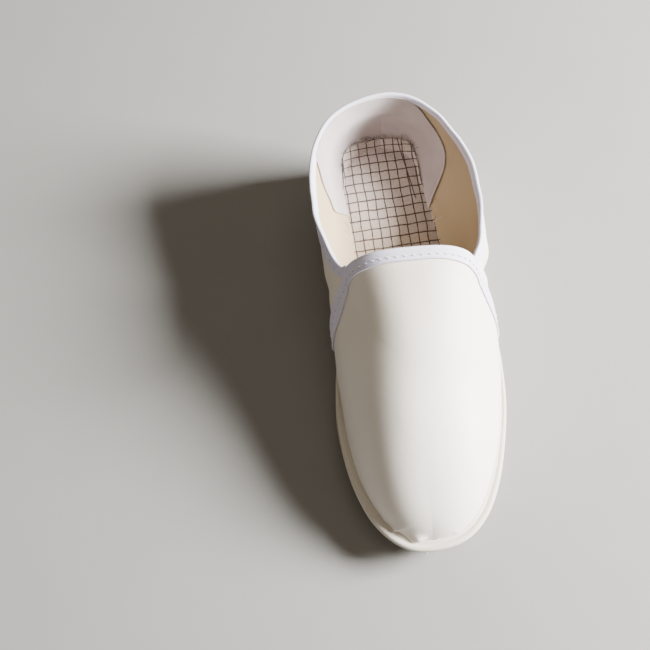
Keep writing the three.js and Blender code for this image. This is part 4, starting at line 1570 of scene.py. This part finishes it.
@dataclass(frozen=True)
class LiningLeather(Finish):
    """Smooth cream lining leather, yellower and duller than the outside, with painted shade low on its walls and on its
    outer side.
    """

    # face is the lit tone and shade is the painted shade tone of the same lining.
    face: tuple[float, float, float] = (0.47, 0.375, 0.24)
    shade: tuple[float, float, float] = (0.43, 0.325, 0.2)

    def build(self, shared: SharedEffects) -> bpy.types.Material:
        """Make the material."""
        made, graph, shader, where = self.start()
        spot = where.outputs["Object"]
        split = graph.add("SeparateXYZ", Vector=spot)
        grain = graph.group(shared.grain, Vector=spot, Scale=1300.0)
        marks = graph.group(shared.marks, Vector=spot, Dust_Height=0.05)
        # Painted shade: the lining is mixed towards its shade colour low on the walls and on the outer (+X) wall.
        lower = graph.step(split.outputs[2], 0.028, 0.064, 1.0, 0.0)
        outer = graph.step(split.outputs[0], -0.01, 0.02, 0.0, 0.55)
        base = graph.mix(graph.sum("MAXIMUM", graph.sum("MULTIPLY", lower, 0.5), outer), self.face, self.shade)
        base = graph.mix(graph.sum("MULTIPLY", marks.outputs[0], 0.18), base, self.shade)
        graph.put(shader.inputs["Base Color"], base)
        self.relief(graph, shader, grain.outputs[0], 0.1 * MM)
        return made


@dataclass(frozen=True)
class GridCloth(Finish):
    """Pale cloth with dark conductive threads in a grid, a little out of true, and one thread astray."""

    ground: tuple[float, float, float] = (0.64, 0.55, 0.51)
    warm: tuple[float, float, float] = (0.60, 0.49, 0.395)
    line: tuple[float, float, float] = (0.042, 0.026, 0.024)
    cell: float = 5.1 * MM
    half_line: float = 0.06

    def build(self, shared: SharedEffects) -> bpy.types.Material:
        """Make the material."""
        made, graph, shader, where = self.start()
        flat, spot = where.outputs["UV"], where.outputs["Object"]
        shift = graph.noise(spot, 42.0, 2.0)
        shake = graph.noise(spot, 260.0, 2.0)
        split = graph.add("SeparateXYZ", Vector=flat)
        sway = graph.sum("MULTIPLY_ADD", shift, 0.42, graph.sum("MULTIPLY", shake, 0.14))
        sway = graph.sum("SUBTRACT", sway, 0.28)
        first = graph.sum("ADD", split.outputs[0], sway)
        second = graph.sum("SUBTRACT", split.outputs[1], sway)
        lines = [self._line(graph, first), self._line(graph, second)]
        astray = graph.sum("SUBTRACT", first, graph.sum("MULTIPLY_ADD", second, 0.115, 3.35))
        near = graph.step(graph.sum("ABSOLUTE", astray), self.half_line * 0.7, self.half_line * 1.5, 1.0, 0.0)
        reach = graph.step(second, -7.6, -7.4)
        until = graph.step(second, 0.3, 0.6, 1.0, 0.0)
        lines.append(graph.sum("MULTIPLY", near, graph.sum("MULTIPLY", reach, until)))
        dark = graph.sum("MAXIMUM", graph.sum("MAXIMUM", lines[0], lines[1]), lines[2])
        sized = graph.add("VectorMath", {"operation": "SCALE"}, Vector=flat)
        sized.inputs["Scale"].default_value = self.cell
        weave = graph.group(shared.weave, Vector=sized.outputs[0], Pitch=0.5 * MM)
        split_spot = graph.add("SeparateXYZ", Vector=spot)
        ground = graph.mix(graph.step(split_spot.outputs[1], 0.035, 0.075, 1.0, 0.0), self.ground, self.warm)
        ground = graph.mix(graph.step(weave.outputs[1], 0.1, 0.55, 0.35, 0.0), ground, self.line)
        ground = graph.mix(graph.step(graph.noise(spot, 120.0, 4.0), 0.35, 0.7, 0.0, 0.15), ground, self.warm)
        uneven = graph.step(graph.noise(spot, 700.0, 2.0), 0.2, 0.55, 0.72, 0.96)
        graph.put(shader.inputs["Base Color"], graph.mix(graph.sum("MULTIPLY", dark, uneven), ground, self.line))
        height = graph.sum("MULTIPLY_ADD", dark, 1.2, weave.outputs[0])
        self.relief(graph, shader, height, 0.14 * MM)
        return made

    def _line(self, graph: Graph, value: object) -> bpy.types.NodeSocket:
        """A mask of the lines at whole numbers of a value."""
        beat = graph.sum("PINGPONG", graph.sum("ABSOLUTE", value), 0.5)
        whole = graph.sum("ABSOLUTE", beat)
        return graph.step(whole, self.half_line * 0.7, self.half_line * 1.5, 1.0, 0.0)


@dataclass(frozen=True)
class Yarn(Finish):
    """Sewing thread or a loose thread end, with a fine twist."""

    face: tuple[float, float, float] = (0.88, 0.86, 0.93)
    shade: tuple[float, float, float] = (0.6, 0.57, 0.62)

    def build(self, shared: SharedEffects) -> bpy.types.Material:
        """Make the material."""
        made, graph, shader, where = self.start()
        twist = graph.noise(where.outputs["Object"], 3200.0, 2.0)
        graph.put(shader.inputs["Base Color"], graph.mix(graph.step(twist, 0.3, 0.7), self.shade, self.face))
        self.relief(graph, shader, twist, 0.08 * MM)
        return made


@dataclass(frozen=True)
class StudioFloor(Finish):
    """Plain pale matt floor with a faint unevenness."""

    pale: tuple[float, float, float] = (0.27, 0.27, 0.263)

    def build(self, shared: SharedEffects) -> bpy.types.Material:
        """Make the material."""
        made, graph, shader, where = self.start()
        marks = graph.group(shared.marks, Vector=where.outputs["Object"], Dust_Height=0.001)
        darker = tuple(value * 0.93 for value in self.pale)
        base = graph.mix(graph.sum("MULTIPLY", marks.outputs[0], 0.35), self.pale, darker)
        graph.put(shader.inputs["Base Color"], base)
        self.relief(graph, shader, graph.noise(where.outputs["Object"], 900.0, 3.0), 0.1 * MM)
        return made


class Lamp(NamedTuple):
    """A soft square light: its name, place, size, power and colour."""

    name: str
    at: tuple[float, float, float]
    size: float
    power: float
    colour: tuple[float, float, float]


@dataclass
class Studio:
    """The floor, the lights and the camera."""

    camera_at: tuple[float, float, float] = (-0.0635, -0.2686, 0.615)
    aim_at: tuple[float, float, float] = (-0.0453, 0.0036, 0.03)
    roll: float = 1.0
    focal_pixels: float = 1200.0
    lamps: tuple[Lamp, ...] = (
        Lamp("window", (1.12, -0.04, 0.655), 0.5, 145.0, (1.0, 0.975, 0.94)),
        Lamp("ceiling", (0.0, 0.1, 1.6), 1.2, 3.5, (1.0, 0.9, 0.78)),
    )
    ambient: float = 0.18

    def build(self, floor_finish: bpy.types.Material) -> None:
        """Make the floor, lights and camera.

        Args:
            floor_finish: the floor's material.
        """
        mesh = bmesh.new()
        bmesh.ops.create_grid(mesh, x_segments=2, y_segments=2, size=3.0,
                              matrix=Matrix.Translation((0, 0, -0.05 * MM)))
        floor = as_object("floor", mesh)
        floor.data.materials.append(floor_finish)
        self._camera()
        for lamp in self.lamps:
            self._light(lamp)
        world = bpy.data.worlds.new("soft_room")
        world.use_nodes = True
        world.node_tree.nodes["Background"].inputs["Color"].default_value = (1.0, 0.84, 0.66, 1)
        world.node_tree.nodes["Background"].inputs["Strength"].default_value = self.ambient
        bpy.context.scene.world = world

    def _light(self, lamp: Lamp) -> None:
        """Place a soft light that looks at the shoe."""
        data = bpy.data.lights.new(lamp.name, "AREA")
        data.size = lamp.size
        data.energy = lamp.power
        data.color = lamp.colour
        made = bpy.data.objects.new(lamp.name, data)
        made.location = lamp.at
        made.rotation_euler = (Vector((0, 0, 0.03)) - Vector(lamp.at)).to_track_quat("-Z", "Y").to_euler()
        bpy.context.scene.collection.objects.link(made)

    def _camera(self) -> None:
        """Place the camera where the photograph was taken from."""
        at, aim = Vector(self.camera_at), Vector(self.aim_at)
        ahead = (aim - at).normalized()
        right = ahead.cross(Vector((0, 0, 1))).normalized()
        down = ahead.cross(right)
        turn = math.radians(self.roll)
        across = right * math.cos(turn) + down * math.sin(turn)
        fall = down * math.cos(turn) - right * math.sin(turn)
        data = bpy.data.cameras.new("camera")
        data.sensor_width = SENSOR_WIDTH
        data.lens = self.focal_pixels / PICTURE_SIZE * SENSOR_WIDTH
        data.clip_start = 0.05
        camera = bpy.data.objects.new("camera", data)
        camera.matrix_world = Matrix.Translation(at) @ Matrix((across, -fall, -ahead)).transposed().to_4x4()
        bpy.context.scene.collection.objects.link(camera)
        bpy.context.scene.camera = camera


def main() -> None:
    """Build the shoe and its studio, and report each piece."""
    logging.basicConfig(level=logging.INFO, format="%(message)s")
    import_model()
    form = ShoeForm()
    form.middle_x = float(form.edge[:, 0].max()) - float(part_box("sole")[1][0])
    shared = SharedEffects()
    leather = CoatedLeather("white_leather", roughness=0.5, specular=0.42, bump=0.22).build(shared)
    foam = MouldedFoam("cream_polyurethane", roughness=0.58, specular=0.35, bump=0.3).build(shared)
    tape = WovenTape("woven_tape", roughness=0.62, specular=0.35, sheen=0.2, bump=0.35).build(shared)
    felt = Felt("lining_felt", roughness=0.95, specular=0.15, sheen=0.35, bump=0.5).build(shared)
    inner = LiningLeather("lining_leather", roughness=0.62, specular=0.3, bump=0.2).build(shared)
    grid = GridCloth("grid_cloth", roughness=0.9, specular=0.2, sheen=0.15, bump=0.45).build(shared)
    thread = Yarn("sewing_thread", roughness=0.6, bump=0.2).build(shared)
    dark = Yarn("dark_yarn", roughness=0.8, bump=0.2, face=(0.08, 0.06, 0.055), shade=(0.04, 0.03, 0.03)).build(shared)
    pale = Yarn("pale_yarn", roughness=0.85, bump=0.2, face=(0.66, 0.58, 0.55), shade=(0.5, 0.43, 0.4)).build(shared)
    MouldedSole(form).build(foam)
    Vamp(form).build(leather)
    Quarters(form).build(leather)
    InnerLining(form).build(inner)
    ThroatTape(form).build(tape, thread)
    CollarTape(form).build(tape, thread)
    HeelLining(form).build(felt)
    Insole(form).build(grid, dark, pale)
    Studio().build(StudioFloor("studio_floor", roughness=0.9, specular=0.2, bump=0.1).build(shared))


if __name__ == "__main__":
    main()
